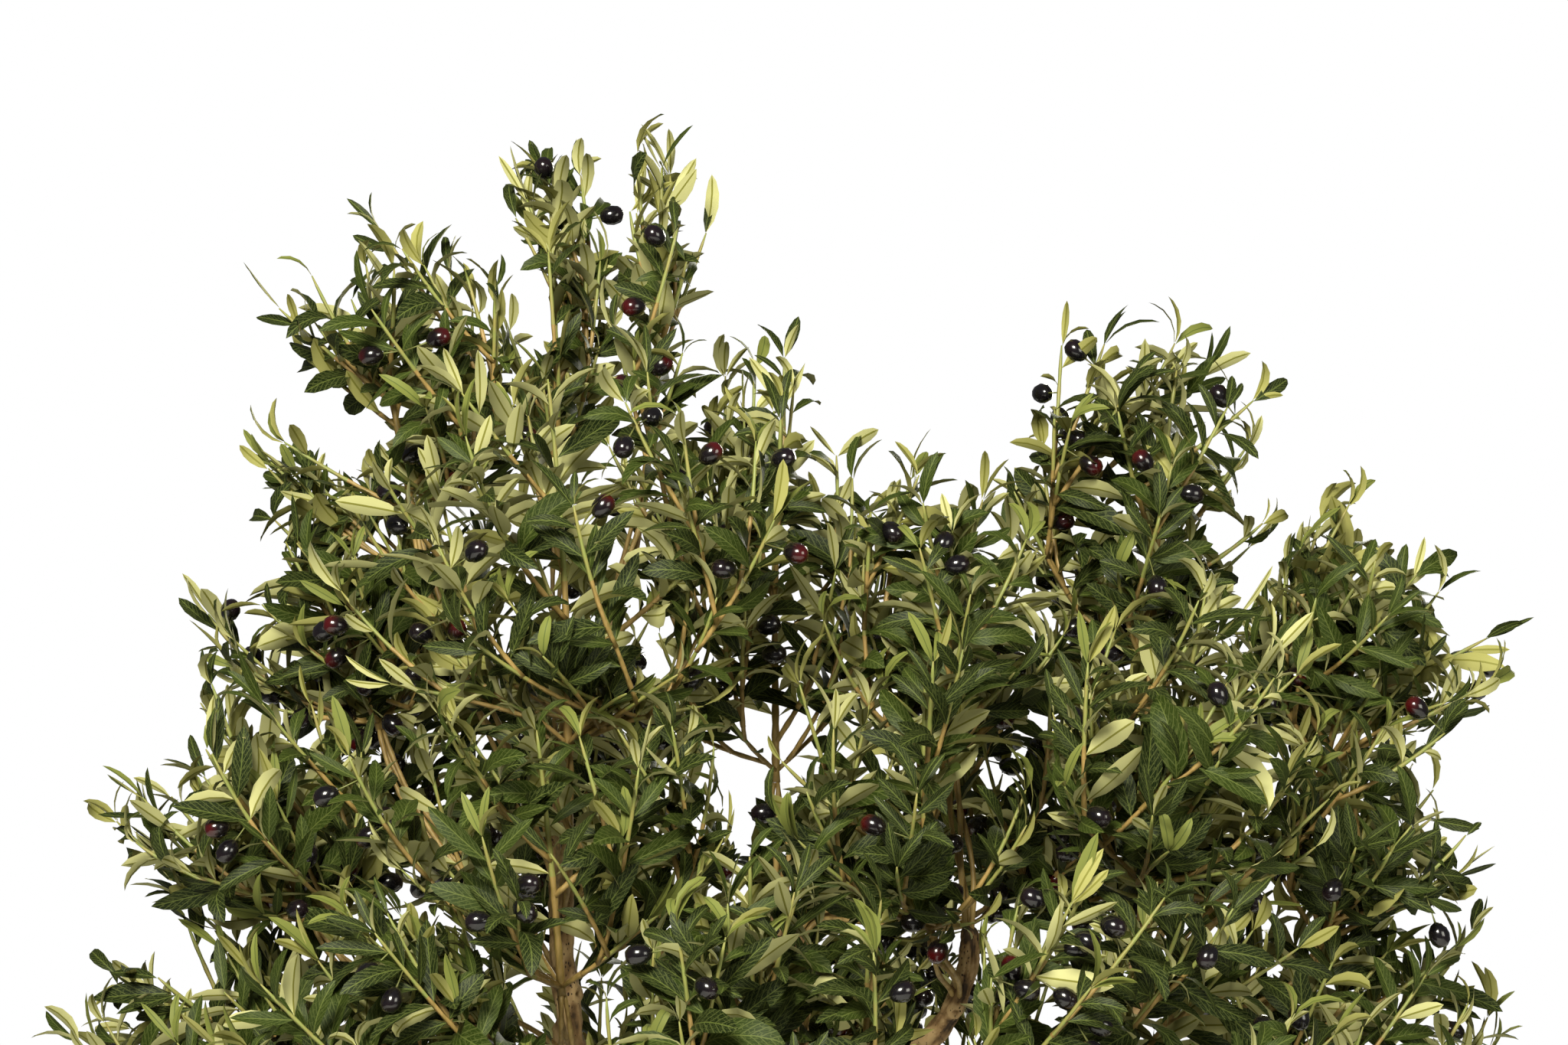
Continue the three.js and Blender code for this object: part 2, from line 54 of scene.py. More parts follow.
Array = np.ndarray
BMesh = bmesh.types.BMesh
Chances = np.random.Generator
Colour = tuple[float, float, float, float]
Leaves = dict[str, np.ndarray]  # what many leaves have, by name
Material = bpy.types.Material
Mesh = bpy.types.Mesh
Pair = tuple[float, float]
Piece = bpy.types.Object
Socket = bpy.types.NodeSocket
Span = tuple[float, float, int]  # from one share of a length to another, in so many places
Triple = tuple[float, float, float]

MM = 0.001
GAP = 0.3  # clearance where one limb meets the next, as in the CAD part
MERGED = 0.001  # vertices nearer than this become one
NUDGE = 0.001  # turns a way a little, so that it never runs just along another
UP = np.array([0.0, 0.0, 1.0])
EYE = np.array([0.0, -4350.0, 1450.0])  # where the front view is seen from
GOLDEN_TURN = math.pi * (3 - math.sqrt(5))
BLACK = (0, 0, 0, 1)
WHITE = (1, 1, 1, 1)


class Slot(Enum):
    """Material slot names, which this script does not use."""

    POT = "pot"
    FILLING = "filling"
    BARK = "bark"
    STEM = "stem"
    FOLIAGE = "foliage"


def unit(ways: Array) -> Array:
    """Brings one way, or each of several, to length 1."""
    return ways / np.linalg.norm(ways, axis=-1, keepdims=True)


def point(*numbers: float) -> Array:
    """A point or a way in millimetres."""
    return np.array(numbers, dtype=float)


def lerp(start: float, end: float, share: float) -> float:
    """The value a share of the way from start to end."""
    return start + (end - start) * share


def rough(place: Vector, octaves: int) -> float:
    """Uneven noise round 0, each octave of it twice as fine and half as high as the one before."""
    return noise.fractal(place, 1.0, 2.0, octaves)


class Stream:
    """A stream of numbers from 0 to 1 that is the same for the same seed, as in the CAD part's source."""

    FACTOR = 1664525
    STEP = 1013904223
    SPAN = 2**32

    def __init__(self, seed: int) -> None:
        """Starts the stream, past its first two numbers.

        Args:
            seed: Where it starts.
        """
        self.state = seed % self.SPAN
        self.draw()
        self.draw()

    def draw(self) -> float:
        """The next number."""
        self.state = (self.state * self.FACTOR + self.STEP) % self.SPAN
        return self.state / self.SPAN


class Line:
    """A curve through space that is measured along its own length."""

    SAMPLES = 121
    STEP = 0.004  # share of the length over which a heading is taken

    def __init__(self, points: Array) -> None:
        """Keeps sample points and how far along each one lies.

        Args:
            points: Sample points in order, in millimetres.
        """
        self.points = points
        steps = np.linalg.norm(np.diff(points, axis=0), axis=1)
        self.runs = np.concatenate([[0.0], np.cumsum(steps)])

    @classmethod
    def bezier(cls, *controls: Array) -> "Line":
        """Makes a Bezier curve.

        Args:
            controls: Its control points, three or four of them.

        Returns:
            The curve.
        """
        t = np.linspace(0, 1, cls.SAMPLES)[:, None]
        top = len(controls) - 1
        return cls(sum(math.comb(top, i) * t**i * (1 - t) ** (top - i) * c for i, c in enumerate(controls)))

    @classmethod
    def through(cls, points: list[Array]) -> "Line":
        """Makes a smooth centripetal curve through points.

        Args:
            points: The points that it passes, in order.

        Returns:
            The curve.
        """
        row = [2 * points[0] - points[1], *points, 2 * points[-1] - points[-2]]
        t = np.linspace(0, 1, cls.SAMPLES)[:, None]
        pieces = []
        for p0, p1, p2, p3 in zip(row, row[1:], row[2:], row[3:]):
            d0, d1, d2 = (math.sqrt(np.linalg.norm(b - a)) for a, b in ((p0, p1), (p1, p2), (p2, p3)))
            leaving = ((p1 - p0) / d0 - (p2 - p0) / (d0 + d1) + (p2 - p1) / d1) * d1
            arriving = ((p2 - p1) / d1 - (p3 - p1) / (d1 + d2) + (p3 - p2) / d2) * d1
            bend = -3 * p1 + 3 * p2 - 2 * leaving - arriving
            swing = 2 * p1 - 2 * p2 + leaving + arriving
            pieces.append(p1 + leaving * t + bend * t**2 + swing * t**3)
        return cls(np.concatenate([pieces[0], *(piece[1:] for piece in pieces[1:])]))

    @property
    def length(self) -> float:
        """How long the curve is."""
        return float(self.runs[-1])

    def longer(self, extra: float) -> "Line":
        """The curve gone straight on past its end by a length."""
        return Line(np.vstack([self.points, self.points[-1] + self.heading(1.0) * extra]))

    def at(self, share: float | Array) -> Array:
        """The point at a share of the length, or the points at several."""
        along = np.asarray(share) * self.length
        return np.stack([np.interp(along, self.runs, self.points[:, k]) for k in range(3)], axis=-1)

    def heading(self, share: float | Array) -> Array:
        """The way the curve runs at a share of the length, or at several."""
        low, high = (np.clip(np.asarray(share) + step, 0, 1) for step in (-self.STEP, self.STEP))
        return unit(self.at(high) - self.at(low))


def carried_sides(headings: Array) -> Array:
    """Carries a sideways direction along a line without turning it about the line.

    Args:
        headings: The way the line runs at each place.

    Returns:
        A unit direction across the line at each place.
    """
    first = np.cross(headings[0], (0.0, 1.0, 0.0) if abs(headings[0][1]) < 0.9 else (1.0, 0.0, 0.0))
    sides = [unit(first)]
    for heading in headings[1:]:
        side = sides[-1] - heading * np.dot(sides[-1], heading)
        sides.append(side / math.sqrt(side @ side))
    return np.array(sides)


def new_object(name: str, mesh: Mesh, materials: list[Material]) -> Piece:
    """Puts a finished mesh into the scene as a piece of the tree.

    Args:
        name: The piece's name.
        mesh: Its mesh, in metres, in its place.
        materials: Its materials, in the order of the mesh's slots.

    Returns:
        The object, which rides on the part's one body.
    """
    piece = bpy.data.objects.new(name, mesh)
    bpy.context.scene.collection.objects.link(piece)
    for material in materials:
        mesh.materials.append(material)
    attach(piece, "root")
    return piece


def mesh_of(bm: BMesh, name: str) -> Mesh:
    """Turns a bmesh in millimetres into a smooth mesh in metres, and frees it.

    Args:
        bm: The bmesh.
        name: The mesh's name.

    Returns:
        The mesh.
    """
    bmesh.ops.scale(bm, vec=(MM, MM, MM), verts=bm.verts)
    for face in bm.faces:
        face.smooth = True
    mesh = bpy.data.meshes.new(name)
    bm.to_mesh(mesh)
    bm.free()
    return mesh


def shape_of(bm: BMesh) -> tuple[Array, Array, Array]:
    """Takes the shape out of a small bmesh, and frees it.

    Args:
        bm: The bmesh, in millimetres.

    Returns:
        Its vertices, the corners of its faces in one row, and how many corners each face has.
    """
    bm.verts.ensure_lookup_table()
    points = np.array([vert.co[:] for vert in bm.verts])
    faces = [[vert.index for vert in face.verts] for face in bm.faces]
    bm.free()
    corners = [corner for face in faces for corner in face]
    return points, np.array(corners), np.array([len(face) for face in faces])


@dataclass
class Weave:
    """Many small things of one kind, gathered as arrays and joined into one mesh."""

    batches: list[tuple[Array, ...]] = field(default_factory=list)
    count: int = 0

    def add(self, points: Array, corners: Array, sizes: Array, slots: Array, places: Array) -> None:
        """Adds vertices, faces by their corners, sizes and slots, and the corners' places on a map."""
        self.batches.append((points, corners + self.count, sizes, slots, places))
        self.count += len(points)

    def tube(self, middles: Array, across: Array, over: Array, radii: Array, slots: Array) -> None:
        """Adds a closed tube: its sides, ring by ring, then its two caps.

        Args:
            middles: The middle of each ring.
            across: A unit direction across the tube, at each ring or for all of them.
            over: The other one.
            radii: Each ring's radius.
            slots: Each face's material slot.
        """
        rings = len(middles)
        sides = (len(slots) - 2) // (rings - 1)
        turns = np.arange(sides) * math.tau / sides
        ring = across[:, None] * np.cos(turns)[None, :, None] + over[:, None] * np.sin(turns)[None, :, None]
        points = (middles[:, None] + ring * radii[:, None, None]).reshape(-1, 3)
        starts = np.arange(rings - 1)[:, None] * sides
        near = (starts + np.arange(sides)).ravel()
        far = (starts + (np.arange(sides) + 1) % sides).ravel()
        quads = np.stack([near, far, far + sides, near + sides], axis=1)
        caps = np.concatenate([np.arange(sides)[::-1], np.arange(sides) + (rings - 1) * sides])
        corners = np.concatenate([quads.ravel(), caps])
        sizes = np.concatenate([np.full(len(quads), 4), [sides, sides]])
        self.add(points, corners, sizes, slots, np.zeros((len(corners), 2)))

    def mesh(self, name: str) -> Mesh:
        """Joins all batches into one smooth mesh in metres.

        Args:
            name: The mesh's name.

        Returns:
            The mesh.
        """
        points, corners, sizes, slots, places = (np.concatenate(row) for row in zip(*self.batches))
        starts = np.concatenate([[0], np.cumsum(sizes)[:-1]]).astype(np.int32)
        mesh = bpy.data.meshes.new(name)
        mesh.vertices.add(len(points))
        mesh.vertices.foreach_set("co", (points * MM).ravel())
        mesh.loops.add(len(corners))
        mesh.loops.foreach_set("vertex_index", corners.astype(np.int32))
        mesh.polygons.add(len(sizes))
        mesh.polygons.foreach_set("loop_start", starts)
        mesh.polygons.foreach_set("material_index", slots.astype(np.int32))
        mesh.update(calc_edges=True)
        mesh.uv_layers.new(name="grain").data.foreach_set("uv", places.ravel())
        mesh.polygons.foreach_set("use_smooth", np.ones(len(sizes), dtype=bool))
        mesh.validate()
        return mesh


class Recipe:
    """The nodes of one material, round its Principled shader."""

    MIX_INPUTS = (0, 6, 7)  # the share and both colours
    MIX_OUTPUT = 2

    def __init__(self, name: str) -> None:
        """Starts a material.

        Args:
            name: The material's name.
        """
        self.material = bpy.data.materials.new(name)
        self.material.use_nodes = True
        self.tree = self.material.node_tree
        self.shader = self.tree.nodes["Principled BSDF"]

    def set(self, **sockets: float | tuple) -> "Recipe":
        """Sets the shader's own sockets.

        Args:
            sockets: Their values, by their names in lower case with low lines.

        Returns:
            The recipe.
        """
        for name, value in sockets.items():
            socket = next(s for s in self.shader.inputs if s.name.lower().replace(" ", "_") == name)
            socket.default_value = value
        return self

    def node(self, kind: str, inputs: dict | None = None, **settings: object) -> bpy.types.Node:
        """Adds a node.

        Args:
            kind: Its type, without the leading ShaderNode.
            inputs: Values or outputs for its inputs, by name or number.
            settings: Its own settings.

        Returns:
            The node.
        """
        node = self.tree.nodes.new("ShaderNode" + kind)
        for name, value in settings.items():
            setattr(node, name, value)
        for key, value in (inputs or {}).items():
            self.feed(node.inputs[key], value)
        return node

    def feed(self, socket: Socket, value: object) -> None:
        """Gives a socket a value, or another node's output.

        Args:
            socket: The socket.
            value: What it gets.
        """
        if isinstance(value, Socket):
            self.tree.links.new(value, socket)
        else:
            socket.default_value = value

    def paint(self, colour: Socket) -> None:
        """Gives the surface its colour."""
        self.feed(self.shader.inputs["Base Color"], colour)

    def sized(self, stretch: Triple = (1, 1, 1)) -> Socket:
        """Object coordinates stretched by a factor each way."""
        place = self.node("TexCoord").outputs["Object"]
        return self.node("Mapping", {"Vector": place, "Scale": stretch}).outputs["Vector"]

    def noise(self, vector: Socket, scale: float, detail: float = 3.0) -> Socket:
        """Soft random spots, from 0 to 1."""
        inputs = {"Vector": vector, "Scale": scale, "Detail": detail}
        return self.node("TexNoise", inputs).outputs["Fac"]

    def ramp(self, value: Socket, stops: list[tuple[float, Colour]]) -> Socket:
        """Colours a value by stops.

        Args:
            value: What is coloured, from 0 to 1.
            stops: Places from 0 to 1, each with a colour.

        Returns:
            The colour output.
        """
        node = self.node("ValToRGB", {"Fac": value})
        elements = node.color_ramp.elements
        while len(elements) < len(stops):
            elements.new(0.5)
        for element, (place, colour) in zip(elements, stops):
            element.position = place
            element.color = colour
        return node.outputs["Color"]

    def math(self, operation: str, first: object, second: object = 0.0) -> Socket:
        """One sum on two values."""
        return self.node("Math", {0: first, 1: second}, operation=operation).outputs[0]

    def times(self, value: object, factor: float) -> Socket:
        """A value times a factor."""
        return self.math("MULTIPLY", value, factor)

    def mix(self, share: object, first: object, second: object) -> Socket:
        """Mixes two colours by a share of the second one."""
        inputs = dict(zip(self.MIX_INPUTS, (share, first, second)))
        return self.node("Mix", inputs, data_type="RGBA").outputs[self.MIX_OUTPUT]

    def bump(self, height: Socket, strength: float, distance: float) -> None:
        """Raises the surface's look by a pattern, of which 1 stands a distance in millimetres high."""
        inputs = {"Height": height, "Strength": strength, "Distance": distance * MM}
        self.feed(self.shader.inputs["Normal"], self.node("Bump", inputs).outputs["Normal"])


def tint(red: int, green: int, blue: int) -> Colour:
    """A colour as a screen shows it, from 0 to 255, as the renderer counts it, by the sRGB curve."""
    shares = (red / 255, green / 255, blue / 255)
    return (*(v / 12.92 if v <= 0.04045 else ((v + 0.055) / 1.055) ** 2.4 for v in shares), 1.0)


@dataclass(frozen=True)
class PotPlastic:
    """Satin moulded plastic with a faint grain."""

    colour: Colour = tint(46, 45, 43)
    dust: Colour = tint(70, 67, 62)
    dusty: Colour = (0.5, 0.5, 0.5, 1)  # how much of the dust shows at most
    roughness: float = 0.32
    wear: float = 0.25  # how much rougher it gets with the dust

    def material(self) -> Material:
        """Makes the material.

        Returns:
            The material.
        """
        recipe = Recipe("satin_pot_plastic").set(specular_ior_level=0.45)
        cloud = recipe.noise(recipe.sized(), scale=14.0, detail=5.0)
        grain = recipe.noise(recipe.sized(), scale=900.0, detail=2.0)
        share = recipe.ramp(cloud, [(0.45, BLACK), (0.8, self.dusty)])
        recipe.paint(recipe.mix(share, self.colour, self.dust))
        worn = recipe.math("ADD", recipe.times(cloud, self.wear), self.roughness)
        recipe.feed(recipe.shader.inputs["Roughness"], worn)
        recipe.bump(grain, strength=0.3, distance=0.3)
        return recipe.material


@dataclass(frozen=True)
class Crust:
    """Rough brown filling, in dark, brown and pale patches by a noise."""

    dark: Colour = tint(38, 28, 20)
    body: Colour = tint(84, 66, 48)
    pale: Colour = tint(128, 106, 80)

    def material(self) -> Material:
        """Makes the material.

        Returns:
            The material.
        """
        recipe = Recipe("filling_crust").set(roughness=0.95)
        lumps = recipe.noise(recipe.sized(), scale=70.0, detail=8.0)
        recipe.paint(recipe.ramp(lumps, [(0.32, self.dark), (0.52, self.body), (0.72, self.pale)]))
        recipe.bump(recipe.noise(recipe.sized(), scale=260.0, detail=6.0), strength=0.8, distance=2.0)
        return recipe.material


@dataclass(frozen=True)
class ChipWood:
    """Loose bark chips: fibrous, each face a little different."""

    dark: Colour = tint(52, 34, 22)
    pale: Colour = tint(126, 88, 56)

    def material(self) -> Material:
        """Makes the material.

        Returns:
            The material.
        """
        recipe = Recipe("bark_chips").set(roughness=0.9)
        fibre = recipe.noise(recipe.sized((1, 1, 4)), scale=90.0, detail=5.0)
        recipe.paint(recipe.ramp(fibre, [(0.35, self.dark), (0.65, self.pale)]))
        splinters = recipe.noise(recipe.sized((1, 5, 1)), scale=300.0, detail=4.0)
        recipe.bump(splinters, strength=0.6, distance=0.8)
        return recipe.material


@dataclass(frozen=True)
class Bark:
    """Moulded bark with a fine grain of random tone, pale on its ridges as painted highlight and dark in its
    furrows as painted shade, as its relief says, and many small pits darkened with painted shade.
    """

    # the dark colour is painted shade in the furrows, the pale one a painted highlight on the ridges, and the
    # pit colour painted shade in the pits
    dark: Colour = tint(58, 42, 24)
    body: Colour = tint(132, 102, 64)
    pale: Colour = tint(184, 154, 108)
    pit_shade: Colour = tint(44, 30, 18)
    relief_shading_share: float = 0.62  # how much of its colour comes from its relief, as painted shade and painted highlight,
    grain_share: float = 0.5  # and from a fine grain
    pit_spread: float = 0.9
    pit_depth: float = 0.5

    def material(self) -> Material:
        """Makes the material.

        Returns:
            The material.
        """
        recipe = Recipe("moulded_bark").set(roughness=0.85)
        relief = recipe.node("Attribute", attribute_name="relief").outputs["Fac"]
        place = recipe.sized((1, 1, 0.55))
        grain = recipe.noise(place, scale=150.0, detail=6.0)
        proud = recipe.times(relief, self.relief_shading_share)
        height = recipe.math("ADD", proud, recipe.times(grain, self.grain_share))
        # painted shade where the relief sinks and painted highlight where it stands proud, over a grain of
        # random tone
        crust = recipe.ramp(height, [(0.34, self.dark), (0.53, self.body), (0.76, self.pale)])
        cells = recipe.node("TexVoronoi", {"Vector": place, "Scale": 330.0}).outputs["Distance"]
        spread = recipe.times(recipe.noise(place, scale=70.0, detail=2.0), self.pit_spread)
        pits = recipe.ramp(recipe.math("ADD", cells, spread), [(0.56, WHITE), (0.68, BLACK)])
        # the pits, sunk by the bump below, are painted dark: painted shade
        recipe.paint(recipe.mix(pits, crust, self.pit_shade))
        deep = recipe.math("SUBTRACT", grain, recipe.times(pits, self.pit_depth))
        recipe.bump(deep, strength=0.7, distance=1.6)
        return recipe.material


@dataclass(frozen=True)
class StemPlastic:
    """Smooth moulded stem with faint streaks along it."""

    name: str
    colour: Colour
    streak: Colour
    roughness: float = 0.5

    def material(self) -> Material:
        """Makes the material.

        Returns:
            The material.
        """
        recipe = Recipe(self.name).set(roughness=self.roughness)
        streaks = recipe.noise(recipe.sized((1, 1, 0.2)), scale=160.0, detail=3.0)
        share = recipe.ramp(streaks, [(0.4, BLACK), (0.66, WHITE)])
        recipe.paint(recipe.mix(share, self.colour, self.streak))
        recipe.bump(streaks, strength=0.35, distance=0.5)
        return recipe.material


@dataclass(frozen=True)
class LeafCloth:
    """Printed leaf cloth: a plain ground with a fine net of veins, or none."""

    name: str
    ground: Colour
    veins: Colour
    net: float = 0.0  # how strongly the veins show
    roughness: float = 0.55
    shine: float = 0.15

    SIDE_VEINS = 9.0  # to each half of a leaf
    VEIN_SLANT = 2.6  # in their own spacing, as is their width
    VEIN_HALF = 0.09
    CELLS = 6.5  # of the net, across a leaf
    CELL_SCALE = 1.7
    NET_HALF = 0.055
    NET_SHARE = 0.7

    def material(self) -> Material:
        """Makes the material.

        Returns:
            The material.
        """
        recipe = Recipe(self.name).set(roughness=self.roughness, specular_ior_level=self.shine)
        if not self.net:
            return recipe.set(base_color=self.ground).material
        place = recipe.node("UVMap", uv_map="grain").outputs["UV"]
        parts = recipe.node("SeparateXYZ", {"Vector": place}).outputs
        out = recipe.math("ABSOLUTE", recipe.math("SUBTRACT", parts[1], 0.5))
        along = recipe.times(parts[0], self.SIDE_VEINS)
        slanted = recipe.math("SUBTRACT", along, recipe.times(out, self.VEIN_SLANT * 2))
        beat = recipe.math("ABSOLUTE", recipe.math("SUBTRACT", recipe.math("FRACT", slanted), 0.5))
        side = recipe.math("LESS_THAN", beat, self.VEIN_HALF)
        sideways = recipe.times(parts[1], self.CELLS)
        bent = recipe.node("CombineXYZ", {"X": slanted, "Y": sideways}).outputs["Vector"]
        between = {"Vector": bent, "Scale": self.CELL_SCALE}
        cells = recipe.node("TexVoronoi", between, feature="DISTANCE_TO_EDGE").outputs["Distance"]
        net = recipe.times(recipe.math("LESS_THAN", cells, self.NET_HALF), self.NET_SHARE)
        share = recipe.times(recipe.math("MAXIMUM", side, net), self.net)
        recipe.paint(recipe.mix(share, self.ground, self.veins))
        return recipe.material


@dataclass(frozen=True)
class OliveSkin:
    """Glossy moulded olive: near black, or red towards one end."""

    name: str
    body: Colour
    end: Colour
    cloud: float = 0.5

    def material(self) -> Material:
        """Makes the material.

        Returns:
            The material.
        """
        recipe = Recipe(self.name).set(roughness=0.2, coat_weight=0.6, coat_roughness=0.08)
        place = recipe.node("UVMap", uv_map="grain").outputs["UV"]
        parts = recipe.node("SeparateXYZ", {"Vector": place}).outputs
        cloud = recipe.noise(recipe.sized(), scale=60.0, detail=2.0)
        stray = recipe.times(recipe.math("SUBTRACT", cloud, 0.5), self.cloud)
        height = recipe.math("ADD", parts[1], stray)
        recipe.paint(recipe.ramp(height, [(0.16, self.end), (0.5, self.body)]))
        return recipe.material


def turned(outline: list[Pair], sides: int) -> BMesh:
    """Turns an outline about the vertical axis.

    Args:
        outline: Radius and height of each corner, from the axis round to the axis.
        sides: How many steps the turn has.

    Returns:
        A closed shape in millimetres.
    """
    bm = bmesh.new()
    row = [bm.verts.new((radius, 0, height)) for radius, height in outline]
    edges = [bm.edges.new(pair) for pair in zip(row, row[1:])]
    turn = {"axis": (0, 0, 1), "cent": (0, 0, 0), "angle": math.tau, "steps": sides, "use_merge": True}
    bmesh.ops.spin(bm, geom=row + edges, **turn)
    bmesh.ops.remove_doubles(bm, verts=bm.verts, dist=MERGED)
    bmesh.ops.recalc_face_normals(bm, faces=bm.faces)
    return bm


@dataclass
class Pot:
    """The plain round pot, open at the top, with a lip."""

    height: float = 270
    foot_radius: float = 118
    rim_radius: float = 148
    wall: float = 6
    floor: float = 12
    lip_height: float = 26
    lip_out: float = 8
    chamfer: float = 4
    sides: int = 96
    sharp: float = 0.35  # edges that bend more than this, in radians, are rounded
    rounding: float = 1.6

    def inner_radius(self, height: float) -> float:
        """The pot's inner radius at a height."""
        share = (height - self.floor) / (self.height - self.floor)
        return lerp(self.foot_radius, self.rim_radius, share) - self.wall

    def outline(self) -> list[Pair]:
        """The pot's outline.

        Returns:
            Radius and height of each corner, from the middle of the underside to the middle of the floor.
        """
        lip_foot = self.height - self.lip_height
        lip_radius = self.rim_radius + self.lip_out
        return [
            (0, 0),
            (self.foot_radius - self.chamfer, 0),
            (self.foot_radius, self.chamfer),
            (self.rim_radius, lip_foot),
            (lip_radius, lip_foot + self.chamfer),
            (lip_radius, self.height),
            (self.rim_radius - self.wall, self.height),
            (self.foot_radius - self.wall, self.floor),
            (0, self.floor),
        ]

    def build(self) -> Piece:
        """Builds the pot with its edges rounded.

        Returns:
            The pot, in place of its CAD node.
        """
        bm = turned(self.outline(), self.sides)
        bends = [e for e in bm.edges if len(e.link_faces) == 2 and e.calc_face_angle() > self.sharp]
        rounds = {"offset": self.rounding, "segments": 3, "profile": 0.5, "affect": "EDGES", "material": -1}
        bmesh.ops.bevel(bm, geom=bends, clamp_overlap=True, **rounds)
        piece = new_object("plant_pot", mesh_of(bm, "plant_pot"), [PotPlastic().material()])
        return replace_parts(piece, "pot")


@dataclass
class Filling:
    """The pot's filling: a rough crust with loose bark chips on it."""

    pot: Pot
    top: float = 246
    relief: float = 2.6
    lumps: float = 0.05
    rough_out: float = 0.99  # of its radius
    rings: int = 22
    sides: int = 72
    chips: int = 420
    chip_size: Triple = (15, 8, 3)
    chip_scales: Pair = (0.55, 1.1)
    chip_corner: float = 0.22
    chip_tilt: float = 0.35
    chip_lift: Pair = (0.5, 3.5)
    rim_room: float = 0.7  # to the pot's wall, in chips' lengths
    clear_share: float = 0.2  # of the top's area, round the trunk
    seed: int = 31

    def build(self) -> list[Piece]:
        """Builds the crust, in place of the CAD filling, and the chips."""
        return [self.crust(), self.loose_chips()]

    def crust(self) -> Piece:
        """Turns the filling's outline and roughens its top.

        Returns:
            The crust, in place of the CAD filling.
        """
        foot = self.pot.floor + GAP
        radius = self.pot.inner_radius(self.top) - GAP
        top = [(radius * (1 - i / self.rings), self.top) for i in range(self.rings + 1)]
        outline = [(0, foot), (self.pot.inner_radius(foot) - GAP, foot), *top]
        bm = turned(outline, self.sides)
        for vert in bm.verts:
            out = math.hypot(vert.co.x, vert.co.y) / radius
            if vert.co.z > self.top / 2 and out < self.rough_out:
                vert.co.z += self.relief * rough(vert.co * self.lumps, 5) - self.relief * out
        piece = new_object("filling_crust", mesh_of(bm, "filling_crust"), [Crust().material()])
        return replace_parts(piece, "filling")

    def loose_chips(self) -> Piece:
        """Scatters bevelled chips over the crust, clear of the trunk and the pot's wall.

        Returns:
            All chips as one piece.
        """
        chip = bmesh.new()
        bmesh.ops.create_cube(chip, size=1.0)
        bevel = {"offset": self.chip_corner, "segments": 1, "profile": 0.5, "affect": "EDGES", "material": -1}
        bmesh.ops.bevel(chip, geom=chip.edges[:], **bevel)
        shape, corners, sizes = shape_of(chip)
        rng = np.random.default_rng(self.seed)
        weave = Weave()
        reach = self.pot.inner_radius(self.top) - self.chip_size[0] * self.rim_room
        for _ in range(self.chips):
            out = math.sqrt(rng.uniform(self.clear_share, 1)) * reach
            turn = rng.uniform(0, math.tau)
            spin = rng.uniform(0, math.tau)
            tip = rng.uniform(-self.chip_tilt, self.chip_tilt)
            roll = rng.uniform(-self.chip_tilt, self.chip_tilt)
            size = np.array(self.chip_size) * rng.uniform(*self.chip_scales, 3)
            way = point(math.cos(spin) * math.cos(tip), math.sin(spin) * math.cos(tip), math.sin(tip))
            side = unit(np.cross(UP + roll * way, way))
            turned_to = np.stack([way, side, np.cross(way, side)])
            height = self.top + rng.uniform(*self.chip_lift)
            middle = point(out * math.cos(turn), out * math.sin(turn), height)
            points = (shape * size) @ turned_to + middle
            weave.add(points, corners, sizes, np.zeros(len(sizes)), np.zeros((len(corners), 2)))
        mesh = weave.mesh("loose_chips")
        mesh.polygons.foreach_set("use_smooth", np.zeros(len(mesh.polygons), dtype=bool))
        return new_object("loose_chips", mesh, [ChipWood().material()])


@dataclass(frozen=True)
class BoughPlan:
    """How a bough runs: what carries it and how far up, its way at each end, its tip and its radii."""

    on: str
    share: float
    leaves: Triple
    ends: Triple
    tip: Triple
    radii: Pair


@dataclass(frozen=True)
class MassPlan:
    """Where a mass of foliage is: what carries its stem and how far up, its middle and its half sizes."""

    on: str
    share: float
    middle: Triple
    half: Triple


BOUGHS = {
    "left_bough": BoughPlan("trunk", 0.93, (-1.05, -0.12, 1), (0.06, 0.04, 1), (-226, -40, 1580), (20, 10)),
    "centre_bough": BoughPlan("trunk", 1, (-0.12, 0.1, 1), (0.1, 0.02, 1), (-4, 50, 1440), (22, 10)),
    "right_bough": BoughPlan("centre_bough", 0.55, (1, -0.45, 0.5), (0, 0, 1), (189, -70, 1420), (14, 9.5)),
    "outer_right_bough": BoughPlan(
        "trunk", 0.86, (1.2, 0.1, 0.75), (0.08, 0.05, 1), (372, 10, 1425), (18, 9.5)
    ),
    "back_bough": BoughPlan("trunk", 0.9, (0.1, 1.1, 1), (0.05, 0.25, 1), (20, 270, 1410), (18, 9.5)),
}

